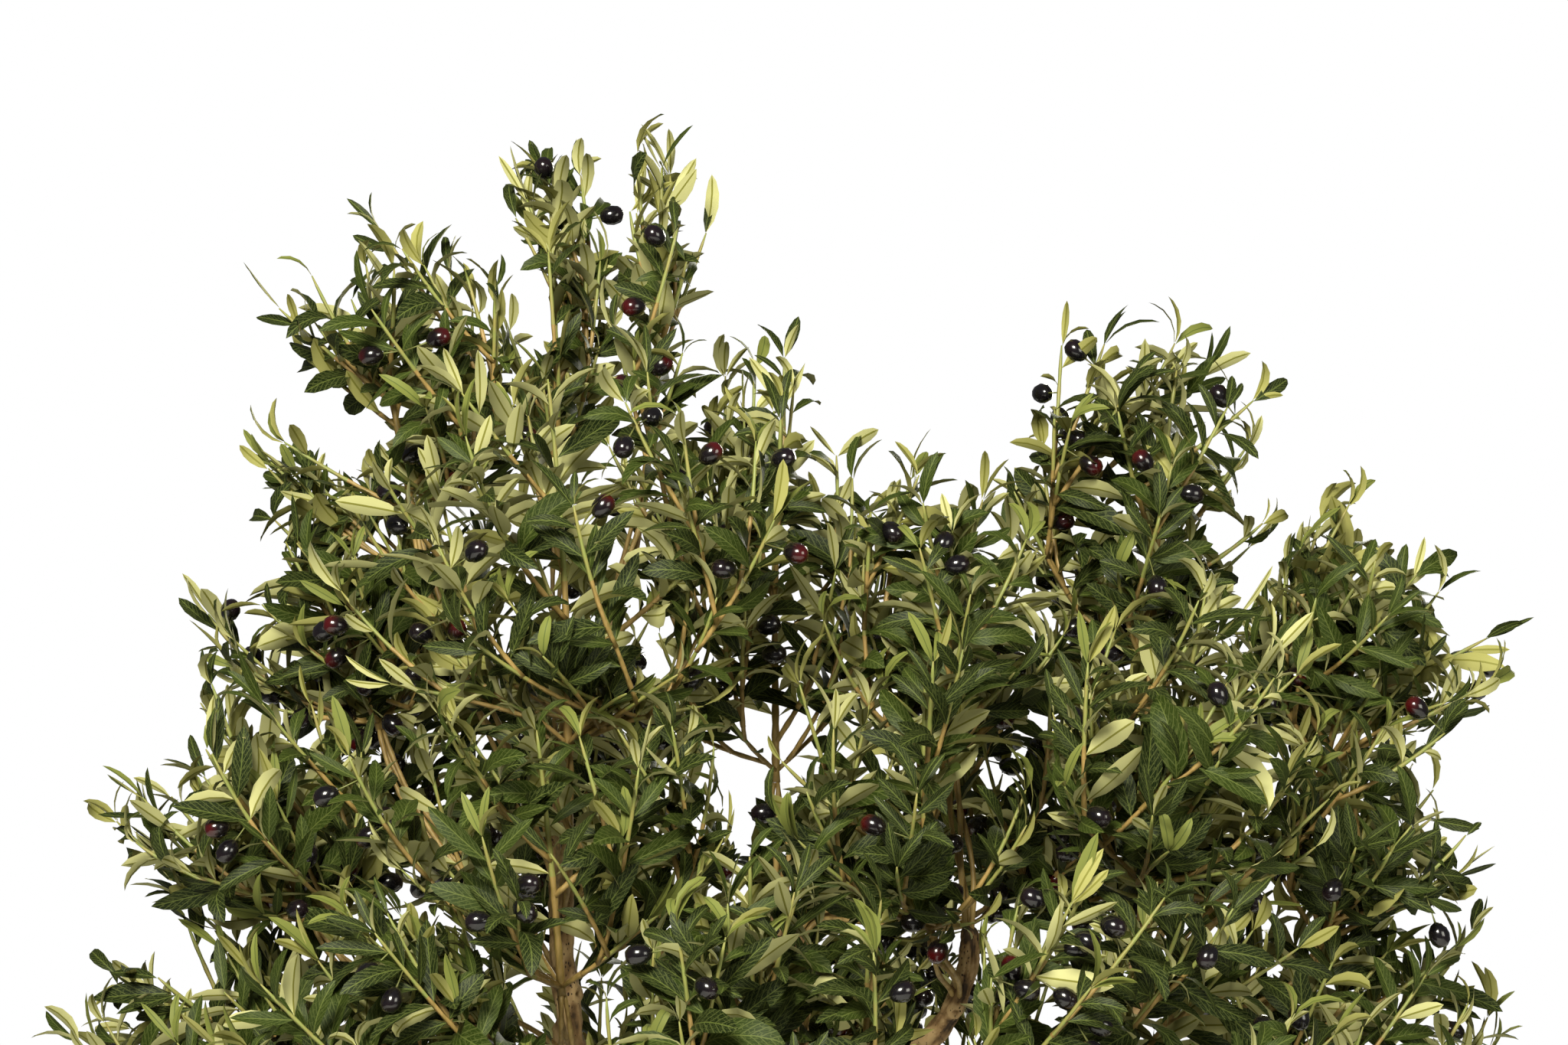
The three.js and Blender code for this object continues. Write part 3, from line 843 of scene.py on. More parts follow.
# each bough's masses: the share of it where the stem leaves, the middle and the half sizes
MASS_SIZES = {
    "left_bough": (
        ("right_of_peak", 1, (-124, -30, 2080), (72, 115, 220)),
        ("left_of_peak", 0.93, (-240, 45, 2058), (84, 130, 212)),
        ("upper_left", 0.84, (-412, -30, 2008), (165, 158, 188)),
        ("left_shoulder", 0.7, (-470, 70, 1795), (172, 168, 195)),
        ("left_heart", 0.8, (-212, -200, 1795), (235, 175, 235)),
        ("left_flank", 0.6, (-548, -70, 1562), (172, 175, 172)),
        ("left_waist", 0.5, (-228, -250, 1535), (232, 170, 215)),
        ("left_skirt", 0.4, (-588, 0, 1338), (180, 185, 185)),
        ("lower_left_front", 0.3, (-385, -235, 1325), (210, 185, 200)),
    ),
    "centre_bough": (
        ("upper_middle", 1, (-10, 40, 1812), (185, 165, 268)),
        ("low_front", 0.34, (-30, -300, 1345), (220, 175, 208)),
    ),
    "right_bough": (
        ("middle_top", 1, (168, -60, 1762), (162, 165, 190)),
        ("middle_heart", 0.8, (132, -190, 1580), (192, 170, 195)),
    ),
    "outer_right_bough": (
        ("right_heart", 0.95, (385, -190, 1610), (200, 175, 205)),
        ("right_peak", 1, (388, 10, 1880), (165, 165, 215)),
        ("right_shoulder", 0.88, (604, 0, 1735), (155, 170, 185)),
        ("right_flank", 0.78, (612, -40, 1555), (155, 178, 190)),
        ("right_skirt", 0.6, (590, 20, 1350), (175, 185, 210)),
        ("low_right_front", 0.48, (335, -250, 1350), (210, 185, 215)),
    ),
    "back_bough": (
        ("back_left", 0.9, (-310, 290, 1660), (215, 190, 250)),
        ("back_right", 1, (330, 285, 1640), (215, 190, 245)),
        ("back_low_left", 0.5, (-320, 290, 1290), (220, 195, 175)),
        ("back_middle", 0.75, (10, 400, 1440), (190, 165, 215)),
        ("back_low_right", 0.6, (330, 280, 1280), (215, 195, 175)),
    ),
}
MASSES = {
    name: MassPlan(bough, *sizes) for bough, masses in MASS_SIZES.items() for name, *sizes in masses
}

# the crown's parts, each of which is joined into one piece of leaves and one of twigs
PARTS = {
    "upper_left": ("right_of_peak", "left_of_peak", "upper_left", "left_shoulder", "left_heart"),
    "lower_left": ("left_flank", "left_waist", "left_skirt", "lower_left_front"),
    "middle": ("upper_middle", "low_front", "middle_top", "middle_heart"),
    "upper_right": ("right_heart", "right_peak", "right_shoulder"),
    "lower_right": ("right_flank", "right_skirt", "low_right_front"),
    "back_left": ("back_left", "back_low_left", "back_middle"),
    "back_right": ("back_right", "back_low_right"),
}


@dataclass(frozen=True)
class Limb:
    """One limb: its line and its radii, with a flare at its foot if it has one."""

    name: str
    line: Line
    root_radius: float
    tip_radius: float
    flare: float = 0.0
    flare_share: float = 1.0

    def radius(self, share: float | Array) -> float | Array:
        """The limb's radius at a share of its length, or at several."""
        plain = lerp(self.root_radius, self.tip_radius, share)
        return plain + self.flare * np.exp(-np.asarray(share) / self.flare_share)


@dataclass
class Limbs:
    """Works out every limb as the CAD part's source does: trunk, boughs, and a stem to each mass."""

    foot: float = 246.3
    fork_height: float = 965
    trunk_foot: Pair = (16, -4)
    trunk_waist: Pair = (34, 8)
    trunk_fork: Pair = (-4, 4)
    trunk_heights: Pair = (0.08, 0.5)  # of its lean and its waist
    trunk_radius: float = 41
    fork_radius: float = 33
    flare: float = 23
    flare_share: float = 0.13
    stem_radii: Pair = (6, 4.6)
    limb_reach: float = 0.4  # how far it keeps its first way, of its span
    carrier_pull: float = 0.5
    entry_depth: float = 0.86
    entry_drop: float = 0.8
    places: int = 41  # along each limb

    def __post_init__(self) -> None:
        """Works out the limbs, each from the ones before it."""
        self.all: dict[str, Limb] = {"trunk": self.trunk()}
        for name, plan in BOUGHS.items():
            self.all[name] = self.bough(name, plan)
        for name, plan in MASSES.items():
            self.all[name + "_stem"] = self.stem(name, plan)

    def trunk(self) -> Limb:
        """Runs the trunk from its flat cut to the fork.

        Returns:
            The trunk.
        """
        height = self.fork_height - self.foot
        lean, waist = self.trunk_heights
        line = Line.through([
            point(*self.trunk_foot, self.foot),
            point(*self.trunk_foot, self.foot + height * lean),
            point(*self.trunk_waist, self.foot + height * waist),
            point(*self.trunk_fork, self.fork_height),
        ])
        return Limb("trunk", line, self.trunk_radius, self.fork_radius, self.flare, self.flare_share)

    def between(self, start: Array, leaves: Array, tip: Array, ends: Array) -> Line:
        """A curve that leaves its start one way and ends another."""
        reach = np.linalg.norm(tip - start) * self.limb_reach
        return Line.bezier(start, start + unit(leaves) * reach, tip - unit(ends) * reach, tip)

    def bough(self, name: str, plan: BoughPlan) -> Limb:
        """Runs one barked bough.

        Args:
            name: Its name.
            plan: How it runs.

        Returns:
            The bough.
        """
        start = self.all[plan.on].line.at(plan.share)
        line = self.between(start, point(*plan.leaves), point(*plan.tip), point(*plan.ends))
        return Limb(name, line, *plan.radii)

    def stem(self, name: str, plan: MassPlan) -> Limb:
        """Runs the stem to a mass: it ends on the underside of the mass's space, pointing at the middle.

        Args:
            name: The mass's name.
            plan: Where the mass is.

        Returns:
            The stem.
        """
        carrier = self.all[plan.on].line
        start = carrier.at(plan.share)
        centre = point(*plan.middle)
        size = point(*plan.half)
        leaves = carrier.heading(plan.share)
        if plan.share == 1:
            start = start + leaves * GAP
        inward = unit((start - centre) / size)
        tip = centre + unit(inward - UP * self.entry_drop) * size * self.entry_depth
        if plan.share < 1:
            leaves = leaves * self.carrier_pull + unit(tip - start)
        return Limb(name + "_stem", self.between(start, leaves, tip, centre - tip), *self.stem_radii)

    def samples(self) -> tuple[Array, Array]:
        """Gathers what leaves keep clear of.

        Returns:
            Points along all limbs, and the limb's radius at each.
        """
        shares = np.linspace(0, 1, self.places)
        points = [limb.line.at(shares) for limb in self.all.values()]
        radii = [np.broadcast_to(limb.radius(shares), shares.shape) for limb in self.all.values()]
        return np.concatenate(points), np.concatenate(radii)


def sleeve(line: Line, shares: Array, sides: int, radius: Callable[[float, float], float]) -> BMesh:
    """Bends a grid into a closed tube round a line.

    Args:
        line: The middle of the tube.
        shares: Where its rings stand along the line.
        sides: How many sides it has.
        radius: Its radius by share and by turn about the line.

    Returns:
        The tube in millimetres, its seam merged and its ends filled.
    """
    middles = line.at(shares)
    headings = line.heading(shares)
    across = carried_sides(headings)
    over = np.cross(headings, across)
    bm = bmesh.new()
    bmesh.ops.create_grid(bm, x_segments=sides, y_segments=len(shares) - 1, size=1.0)
    for vert in bm.verts:
        ring = round((vert.co.y + 1) / 2 * (len(shares) - 1))
        turn = (vert.co.x + 1) * math.pi
        way = across[ring] * math.cos(turn) + over[ring] * math.sin(turn)
        vert.co = Vector(middles[ring] + way * radius(shares[ring], turn))
    bmesh.ops.remove_doubles(bm, verts=bm.verts, dist=MERGED)
    bmesh.ops.holes_fill(bm, edges=[e for e in bm.edges if e.is_boundary], sides=0)
    bmesh.ops.recalc_face_normals(bm, faces=bm.faces)
    return bm


@dataclass
class BarkRelief:
    """The shape of the bark on one limb: long ridges, lumps, lobes at its root and a few pruned knots."""

    limb: Limb
    ridge: float
    lump: float
    knots: int
    seed: int
    knot_size: float = 0.9  # of the limb's radius
    round_end: float = 10.0  # how far from its tip the limb rounds off

    RIDGE_SWIRL = 0.0022  # radians in a millimetre
    RIDGE_SPOTS = (2.3, 0.011)  # how fine each is, about the limb and along it
    CRUST_SPOTS = (2.0, 0.1)
    LUMP_SPOTS = (1.0, 0.035)
    SEED_STEP = 7
    FURROW = 3.2
    RIDGE_SHARE = 0.5
    CRUST_SHARE = 0.75
    LOBES = ((4, 0.7, 0.5), (7, 2.1, 0.25))  # number, start and reach of each
    LOBE_SHARE = 0.28
    KNOT_SPAN = (0.12, 0.85)
    KNOT_RIM = 0.3  # how high a knot's rim is, of the limb's radius,
    KNOT_RIM_PLACE = 0.55  # and how far out on the knot
    KNOT_HOLLOW = 0.1
    KNOT_STEEPNESS = 9
    LEAST_END = 0.12

    def __post_init__(self) -> None:
        """Deals out the knots."""
        rng = np.random.default_rng(self.seed)
        shares = rng.uniform(*self.KNOT_SPAN, self.knots)
        self.knot_places = list(zip(shares, rng.uniform(0, math.tau, self.knots)))

    def spot(self, spots: Pair, turn: float, along: float, seed: int) -> Vector:
        """The place in the noise for a place on the bark, by how fine the pattern is."""
        about, far = spots
        return Vector((math.cos(turn) * about, math.sin(turn) * about, along * far + seed))

    def height(self, share: float, turn: float) -> float:
        """Adds the ridges to the crust on them.

        Args:
            share: How far along the limb.
            turn: Angle about it.

        Returns:
            How far the bark stands out, from about -1 to 1.
        """
        along = share * self.limb.line.length
        swirl = turn + along * self.RIDGE_SWIRL
        valley = noise.noise(self.spot(self.RIDGE_SPOTS, swirl, along, self.seed * self.SEED_STEP))
        ridges = 1 - abs(valley) * self.FURROW
        crust = rough(self.spot(self.CRUST_SPOTS, turn, along, self.seed), 4)
        return self.RIDGE_SHARE * ridges + self.CRUST_SHARE * crust

    def knot(self, plain: float, reach: float) -> float:
        """How far a pruned knot stands out of the plain limb, at a share of the knot's own size."""
        rim = plain * self.KNOT_RIM * math.exp(-((reach - self.KNOT_RIM_PLACE) ** 2) * self.KNOT_STEEPNESS)
        return rim - plain * self.KNOT_HOLLOW * math.exp(-(reach**2) * self.KNOT_STEEPNESS)

    def radius(self, share: float, turn: float) -> float:
        """The radius of the barked limb at one place.

        Args:
            share: How far along the limb.
            turn: Angle about it.

        Returns:
            The radius in millimetres.
        """
        limb = self.limb
        plain = float(limb.radius(share))
        size = plain + self.ridge * self.height(share, turn)
        size += self.lump * noise.noise(self.spot(self.LUMP_SPOTS, turn, share * limb.line.length, self.seed))
        if limb.flare:
            lobes = sum(math.cos(turn * count + start) * out for count, start, out in self.LOBES)
            size += limb.flare * math.exp(-share / limb.flare_share) * self.LOBE_SHARE * lobes
        for knot_share, knot_turn in self.knot_places:
            along = (share - knot_share) * limb.line.length
            away = math.hypot(along, math.remainder(turn - knot_turn, math.tau) * plain)
            size += self.knot(plain, away / (plain * self.knot_size))
        left = (1 - share) * limb.line.length
        if left < self.round_end:
            size *= math.sqrt(max(self.LEAST_END, 1 - (1 - left / self.round_end) ** 2))
        return size


@dataclass
class BarkedWood:
    """Trunk and boughs with their bark in relief, one mesh to each."""

    limbs: Limbs
    trunk_sides: int = 72
    bough_sides: int = 32
    ring_spacing: float = 3.0
    blunt_end: float = 13.0  # how far a bough's bark goes on past its tip, round the stem there,
    fork_end: float = 14.0  # and the trunk's past the fork, round the foot of the centre bough
    proudest: float = 0.22  # of the radius
    samples: int = 161
    bark: Bark = Bark()

    def relief(self, limb: Limb, index: int) -> BarkRelief:
        """Chooses the bark of a limb.

        Args:
            limb: The limb.
            index: Its number, which seeds its relief.

        Returns:
            The shape of its bark.
        """
        if limb.name == "trunk":
            return BarkRelief(limb, ridge=2.6, lump=3.0, knots=6, seed=11, knot_size=0.5, round_end=30)
        return BarkRelief(limb, ridge=1.5, lump=3.4, knots=6, seed=20 + index)

    def build(self) -> list[Piece]:
        """Builds every barked limb, each in place of its CAD node."""
        material = self.bark.material()
        return [self.limb(self.limbs.all[name], i, material) for i, name in enumerate(["trunk", *BOUGHS])]

    def limb(self, limb: Limb, index: int, material: Material) -> Piece:
        """Builds one limb, with its relief kept on its vertices for the bark's colours and their painted
        shade and highlight.

        Args:
            limb: The limb.
            index: Its number, which seeds its relief.
            material: The bark.

        Returns:
            The piece.
        """
        past_tip = self.fork_end if limb.name == "trunk" else self.blunt_end
        limb = replace(limb, line=limb.line.longer(past_tip))
        relief = self.relief(limb, index)
        rings = round(limb.line.length / self.ring_spacing)
        sides = self.trunk_sides if limb.name == "trunk" else self.bough_sides
        shares = np.linspace(0, 1, rings + 1)
        bm = sleeve(limb.line, shares, sides, relief.radius)
        mesh = mesh_of(bm, limb.name + "_bark")
        self.keep_relief(mesh, limb)
        piece = new_object(limb.name + "_bark", mesh, [material])
        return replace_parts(piece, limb.name)

    def keep_relief(self, mesh: Mesh, limb: Limb) -> None:
        """Stores how far each vertex stands out from the plain limb, from 0 to 1.

        Args:
            mesh: The barked limb's mesh.
            limb: The limb.
        """
        points = np.empty(len(mesh.vertices) * 3)
        mesh.vertices.foreach_get("co", points)
        points = points.reshape(-1, 3) / MM
        shares = np.linspace(0, 1, self.samples)
        middles = limb.line.at(shares)
        away = np.linalg.norm(points[:, None, :] - middles[None, :, :], axis=2)
        radii = limb.radius(shares)[away.argmin(axis=1)]
        proud = (away.min(axis=1) - radii) / (radii * self.proudest)
        relief = mesh.attributes.new("relief", "FLOAT", "POINT")
        relief.data.foreach_set("value", np.clip(proud * 0.5 + 0.5, 0, 1))


@dataclass
class Stems:
    """The slim moulded stems from the boughs to the masses, each of a few strands wound round each other."""

    limbs: Limbs
    strands: int = 3
    strand_radii: Pair = (3.0, 2.3)
    held: float = 2.8  # how far a strand runs from the stem's middle at either end,
    loose: float = 5.5  # and how much further halfway
    turn_length: float = 420.0  # length over which the strands wind once
    sides: int = 7
    ring_spacing: float = 9.0
    least_rings: int = 6
    joint_spacing: float = 62.0
    joint_swell: float = 0.35
    joint_length: float = 6.0

    def build(self) -> Piece:
        """Builds every stem.

        Returns:
            The stems, in place of their CAD nodes.
        """
        finish = StemPlastic("tan_stem", tint(176, 148, 88), tint(134, 108, 58))
        stems = new_object("stems", self.stem_mesh(), [finish.material()])
        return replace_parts(stems, *(name + "_stem" for name in MASSES))

    def stem_mesh(self) -> Mesh:
        """Joins all strands into one mesh.

        Returns:
            The mesh.
        """
        whole = bmesh.new()
        for name in MASSES:
            limb = self.limbs.all[name + "_stem"]
            for index in range(self.strands):
                self.join(whole, self.strand(limb, index))
        return mesh_of(whole, "stems")

    def strand(self, limb: Limb, index: int) -> BMesh:
        """One strand of a stem, with a low swelling at every moulded joint.

        Args:
            limb: The stem.
            index: The strand's number.

        Returns:
            The strand in millimetres.
        """
        rings = max(self.least_rings, round(limb.line.length / self.ring_spacing))
        shares = np.linspace(0, 1, rings + 1)
        headings = limb.line.heading(shares)
        across = carried_sides(headings)
        turns = (index / self.strands + shares * limb.line.length / self.turn_length) * math.tau
        around = across * np.cos(turns)[:, None] + np.cross(headings, across) * np.sin(turns)[:, None]
        away = self.held + self.loose * np.sin(shares * math.pi)
        line = Line(limb.line.at(shares) + around * away[:, None])

        offset = index * self.joint_spacing / self.strands

        def radius(share: float, turn: float) -> float:
            """The strand's radius at a share of its length, the same all round."""
            beat = math.remainder(share * line.length + offset, self.joint_spacing) / self.joint_length
            return lerp(*self.strand_radii, share) * (1 + self.joint_swell * math.exp(-(beat**2)))

        return sleeve(line, shares, self.sides, radius)

    def join(self, whole: BMesh, part: BMesh) -> None:
        """Adds one shape to another and frees it.

        Args:
            whole: What it is added to.
            part: The shape.
        """
        mesh = bpy.data.meshes.new("joined")
        part.to_mesh(mesh)
        part.free()
        whole.from_mesh(mesh)
        bpy.data.meshes.remove(mesh)


class Space:
    """The space of a mass: an ellipsoid, with a flat wall wherever another mass comes as far as it does."""

    MARGIN = 1.0
    SKIN = 1.2  # how far past the ellipsoid a leaf's tip may go
    DRAWN = 0.98
    NEAREST = 0.2
    STEPS = 41

    def __init__(self, name: str) -> None:
        """Works out the walls.

        Args:
            name: The mass's name.
        """
        self.name = name
        self.index = list(MASSES).index(name)
        self.centre = point(*MASSES[name].middle)
        self.size = point(*MASSES[name].half)
        others = [plan for other, plan in MASSES.items() if other != name]
        away = np.array([plan.middle for plan in others]) - self.centre
        self.ways = unit(away)
        self.other_centres = self.centre + away
        self.other_sizes = np.array([plan.half for plan in others])
        own = 1 / np.linalg.norm(self.ways / self.size, axis=1)
        their = 1 / np.linalg.norm(self.ways / self.other_sizes, axis=1)
        self.offsets = np.linalg.norm(away, axis=1) * own / (own + their) - self.MARGIN

    @property
    def litres(self) -> float:
        """What the whole ellipsoid holds."""
        return 4 / 3 * math.pi * float(np.prod(self.size)) * 1e-6

    def room(self, points: Array) -> Array:
        """Measures how far out points may go before a wall.

        Args:
            points: The points.

        Returns:
            A share of each one's own distance from the middle, at most 1.
        """
        ahead = (points - self.centre) @ self.ways.T
        with np.errstate(divide="ignore", invalid="ignore"):
            shares = np.where(ahead > 0, self.offsets / ahead, 1.0)
        return np.minimum(shares.min(axis=-1), 1.0)

    def drawn_in(self, place: Array) -> Array:
        """Draws a point towards the middle until no wall is in its way, as in the CAD part's source."""
        return self.centre + (place - self.centre) * self.room(place) * self.DRAWN

    def holds(self, points: Array) -> Array:
        """Tells which points lie in the space: near enough, and not past a wall where its neighbour is.

        Args:
            points: The points.

        Returns:
            Yes or no for each point.
        """
        within = np.linalg.norm((points - self.centre) / self.size, axis=-1) <= self.SKIN
        past = (points - self.centre) @ self.ways.T > self.offsets
        away = (points[..., None, :] - self.other_centres) / self.other_sizes
        theirs = np.linalg.norm(away, axis=-1) <= self.SKIN
        return within & ~(past & theirs).any(axis=-1)

    def settled(self, place: Array) -> Array:
        """Brings a place into the space.

        Args:
            place: The place.

        Returns:
            The place itself, or the first one that the space holds on the way from it to the middle.
        """
        shares = np.linspace(1, self.NEAREST, self.STEPS)
        places = self.centre + (place - self.centre) * shares[:, None]
        return places[np.argmax(self.holds(places))]


@dataclass(frozen=True)
class Shoot:
    """A leafy twig: its line, how much of it is wood, its radii, and how far up its leaves begin."""

    line: Line
    wood: float
    radii: Pair
    first: float
    inset: float = 0.0  # how far its leaves stay in from the crown's outline: below 0, they go past it


@dataclass
class Growth:
    """The rule by which a mass grows: a leader, shoots that fan out from it, and twigs in between."""

    leader_reach: float = 0.98
    leader_bend: float = 0.45
    leader_first: float = 0.16  # how far up a leader its leaves begin,
    shoot_first: float = 0.14  # a shoot
    twig_first: float = 0.12  # and a twig
    shoots: int = 4
    shoot_roots: Pair = (0.5, 0.04)  # the first one's and the last one's
    strays: Triple = (0.7, 0.2, 0.12)  # of a shoot's turn, spread and reach
    fan_bend: float = 0.1
    shoot_sag: float = 0.06
    narrow_spread: float = 0.42
    wide_spread: float = 1.85
    leader_radii: Pair = (4.3, 1.7)
    shoot_radii: Pair = (3.1, 1.8)
    twig_radii: Pair = (2.6, 1.6)
    seed: int = 4021
    seed_step: int = 7919
    outward_lean: float = 0.0006
    last_leaf: float = 42.0  # how far it goes on past its wood
    least_wood: float = 0.4
    twigs_per_litre: float = 1.2
    twig_length: float = 195.0
    shortest: float = 1.6  # twig, in last leaves
    flow_lean: Pair = (0.0016, 0.0008)  # how fast twigs lean out, in X and Y
    twig_bend: float = 0.1
    sag: Pair = (0.06, 0.24)  # how far a twig bends down, of its length
    stray: float = 1.6
    inner_inset: float = 28.0  # how far the leaves stay in from the crown's outline,
    tip_inset: float = -20.0  # except on the twigs that make it
    tip_stray: float = 0.3  # from the middle, to front or back
    other_depths: tuple[float, ...] = (0.4, -0.4, 0.7, -0.7)
    tip_room: float = 25.0  # how far past a tip its space should go on
    shoot_rooting: Span = (0.03, 0.92, 30)  # where twigs may root on a shoot
    twig_rooting: Span = (0.05, 0.6, 10)  # and on another twig
    highest_way: float = 0.97
    lowest_way: float = -0.85
    turn_stray: float = 0.4
    inner_reach: float = 0.5
    outer_reach: float = 1.1
    crowding: float = 0.6  # below 1, more twigs end near the outside

    def main_shoots(self, space: Space, stem: Limb) -> list[Shoot]:
        """Grows the leader and the shoots, just as in the CAD part's source.

        Args:
            space: The space of the mass.
            stem: The stem that it grows on from.

        Returns:
            The leader and its shoots.
        """
        stream = Stream(self.seed + space.index * self.seed_step)
        rising = stem.line.heading(1.0)
        foot = stem.line.at(1.0) + rising * GAP
        axis = unit(UP + point(space.centre[0], space.centre[1], 0) * self.outward_lean)
        across = unit(np.cross(point(-axis[1], axis[0], NUDGE), axis))
        along = np.cross(axis, across)
        top = space.drawn_in(space.centre + axis * space.size * self.leader_reach)
        bend = foot + rising * np.linalg.norm(top - foot) * self.leader_bend
        leader = Line.bezier(foot, bend, top)
        grown = [self.shoot(leader, self.leader_radii, self.leader_first)]
        turn_stray, spread_stray, reach_stray = self.strays
        for k in range(self.shoots):
            rank = (k + 0.5) / self.shoots
            turn = k * GOLDEN_TURN + (stream.draw() - 0.5) * turn_stray + space.index
            spread = lerp(self.narrow_spread, self.wide_spread, rank) + (stream.draw() - 0.5) * spread_stray
            reach = 1 - reach_stray * stream.draw()
            fan = across * math.cos(turn) + along * math.sin(turn)
            way = axis * math.cos(spread) + fan * math.sin(spread)
            target = space.drawn_in(space.centre + way * space.size * reach)
            root = leader.at(lerp(*self.shoot_roots, rank))
            length = np.linalg.norm(target - root)
            middle = (root + target) / 2 + fan * length * self.fan_bend - UP * length * self.shoot_sag
            line = Line.bezier(root, space.drawn_in(middle), target)
            grown.append(self.shoot(line, self.shoot_radii, self.shoot_first))
        return grown

    def shoot(self, line: Line, radii: Pair, first: float) -> Shoot:
        """A shoot whose wood ends a leaf's length before its line does."""
        wood = max(1 - self.last_leaf / line.length, self.least_wood)
        return Shoot(line, wood, radii, first, self.inner_inset)

    def targets(self, space: Space, rng: Chances) -> list[tuple[Array, float]]:
        """Chooses where a mass's twigs end: at the tips on the outline, and spread through the space.

        Args:
            space: The space of the mass.
            rng: Its chances.

        Returns:
            The places, lowest first, each with the inset of its twig.
        """
        chosen = []
        for x, z in TIPS.get(space.name, ()):
            first = rng.uniform(-self.tip_stray, self.tip_stray)
            depths = space.centre[1] + space.size[1] * np.append(first, self.other_depths)
            places = EYE + (point(x, 0, z) - EYE) * (1 - depths / EYE[1])[:, None]
            roomy = space.holds(places + unit(places - space.centre) * self.tip_room)
            chosen.append((space.settled(places[np.argmax(roomy)]), self.tip_inset))
        count = round(space.litres * self.twigs_per_litre)
        for i in range(count):
            height = lerp(self.highest_way, self.lowest_way, (i + 0.5) / count)
            turn = i * GOLDEN_TURN + rng.uniform(-self.turn_stray, self.turn_stray)
            flat = math.sqrt(1 - height**2)
            way = point(flat * math.cos(turn), flat * math.sin(turn), height)
            reach = lerp(self.inner_reach, self.outer_reach, rng.uniform() ** self.crowding)
            chosen.append((space.settled(space.centre + way * space.size * reach), self.inner_inset))
        return sorted(chosen, key=lambda one: one[0][2])

    def rooting(self, carrier: Shoot, span: Span) -> tuple[Array, Array]:
        """The places where twigs may root on a shoot or twig, and its headings there."""
        shares = np.linspace(*span) * carrier.wood
        return carrier.line.at(shares), carrier.line.heading(shares)

    def twig_to(
        self, target: Array, space: Space, roots: Array, headings: Array, rng: Chances
    ) -> Shoot | None:
        """Grows a twig to a place, from the root that gives it about its own length and lets it rise.

        Args:
            target: Where it ends.
            space: The space of the mass.
            roots: Where it may root.
            headings: The carriers' headings there.
            rng: Its chances.

        Returns:
            The twig, or None where it would be too short.
        """
        flow = unit(UP + point(target[0] * self.flow_lean[0], target[1] * self.flow_lean[1], 0))
        away = np.linalg.norm(target - roots, axis=1)
        along = (target - roots) @ flow / np.maximum(away, 1)
        best = int(np.argmin(np.abs(away - self.twig_length) + self.stray * self.twig_length * (1 - along)))
        root, length = roots[best], away[best]
        if length < self.last_leaf * self.shortest:
            return None
        bend = lerp(root, target, 0.5) + headings[best] * length * self.twig_bend
        bend = bend - UP * length * rng.uniform(*self.sag)
        return self.shoot(Line.bezier(root, space.settled(bend), target), self.twig_radii, self.twig_first)


def seen_at(points: Array) -> tuple[Array, Array]:
    """Where the front view shows points on the upright plane through the trunk."""
    share = -EYE[1] / (points[..., 1] - EYE[1])
    return tuple(EYE[k] + (points[..., k] - EYE[k]) * share for k in (0, 2))


@dataclass(frozen=True)
class Opening:
    """An ellipse in the front view where the crown stays open, all through or before a depth."""

    x: float
    z: float
    half_x: float
    half_z: float
    before: float = math.inf

    def covers(self, points: Array) -> Array:
        """Tells which points stand in the opening.

        Args:
            points: The points.

        Returns:
            Yes or no for each point.
        """
        x, z = seen_at(points)
        near = ((x - self.x) / self.half_x) ** 2 + ((z - self.z) / self.half_z) ** 2 < 1
        return near & (points[..., 1] < self.before)


OPENINGS = tuple(
    Opening(*sizes)
    for sizes in (
        (-490, 1974, 34, 15), (-442, 1948, 28, 18), (-464, 1914, 19, 13), (-618, 1870, 26, 40),
        (-258, 2075, 13, 42), (-172, 2165, 9, 34), (-100, 2175, 8, 30), (-87, 1954, 7, 11),
        (-31, 1976, 9, 15), (6, 1954, 10, 11), (30, 1966, 12, 9), (45, 1893, 13, 9), (94, 1903, 18, 13),
        (458, 1837, 18, 17), (478, 1808, 12, 14), (546, 1857, 12, 9), (602, 1856, 12, 17),
        (624, 1838, 10, 8), (646, 1850, 14, 11), (-612, 1392, 22, 28), (706, 1576, 24, 20),
        (-690, 1630, 60, 20), (-670, 1432, 50, 22), (-52, 1604, 17, 22), (-42, 1580, 16, 24),
        (-26, 1632, 12, 18), (2, 1642, 14, 18), (12, 1606, 18, 28), (-6, 1578, 9, 14), (-43, 1525, 12, 20),
        (-148, 1747, 14, 22), (-134, 1710, 18, 22), (-92, 1716, 12, 9), (700, 1760, 14, 26),
        (708, 1520, 20, 9), (-234, 1775, 14, 26), (-290, 1735, 9, 32), (214, 1602, 13, 14),
        (230, 1586, 11, 13), (270, 1652, 18, 12), (355, 1553, 10, 17), (-80, 1778, 13, 13),
        (-420, 1833, 20, 17), (-267, 1352, 14, 22), (-257, 1326, 10, 12), (-184, 1332, 12, 17),
        (272, 1346, 14, 21), (190, 1318, 16, 16), (378, 1348, 11, 19), (225, 1420, 12, 18),
        (-246, 1478, 18, 46, -30), (-230, 1400, 16, 30, -30), (-220, 1345, 24, 58, -30),
        (188, 1385, 15, 36, -60), (170, 1330, 20, 26, -60), (190, 1520, 14, 90, -60),
    )
)


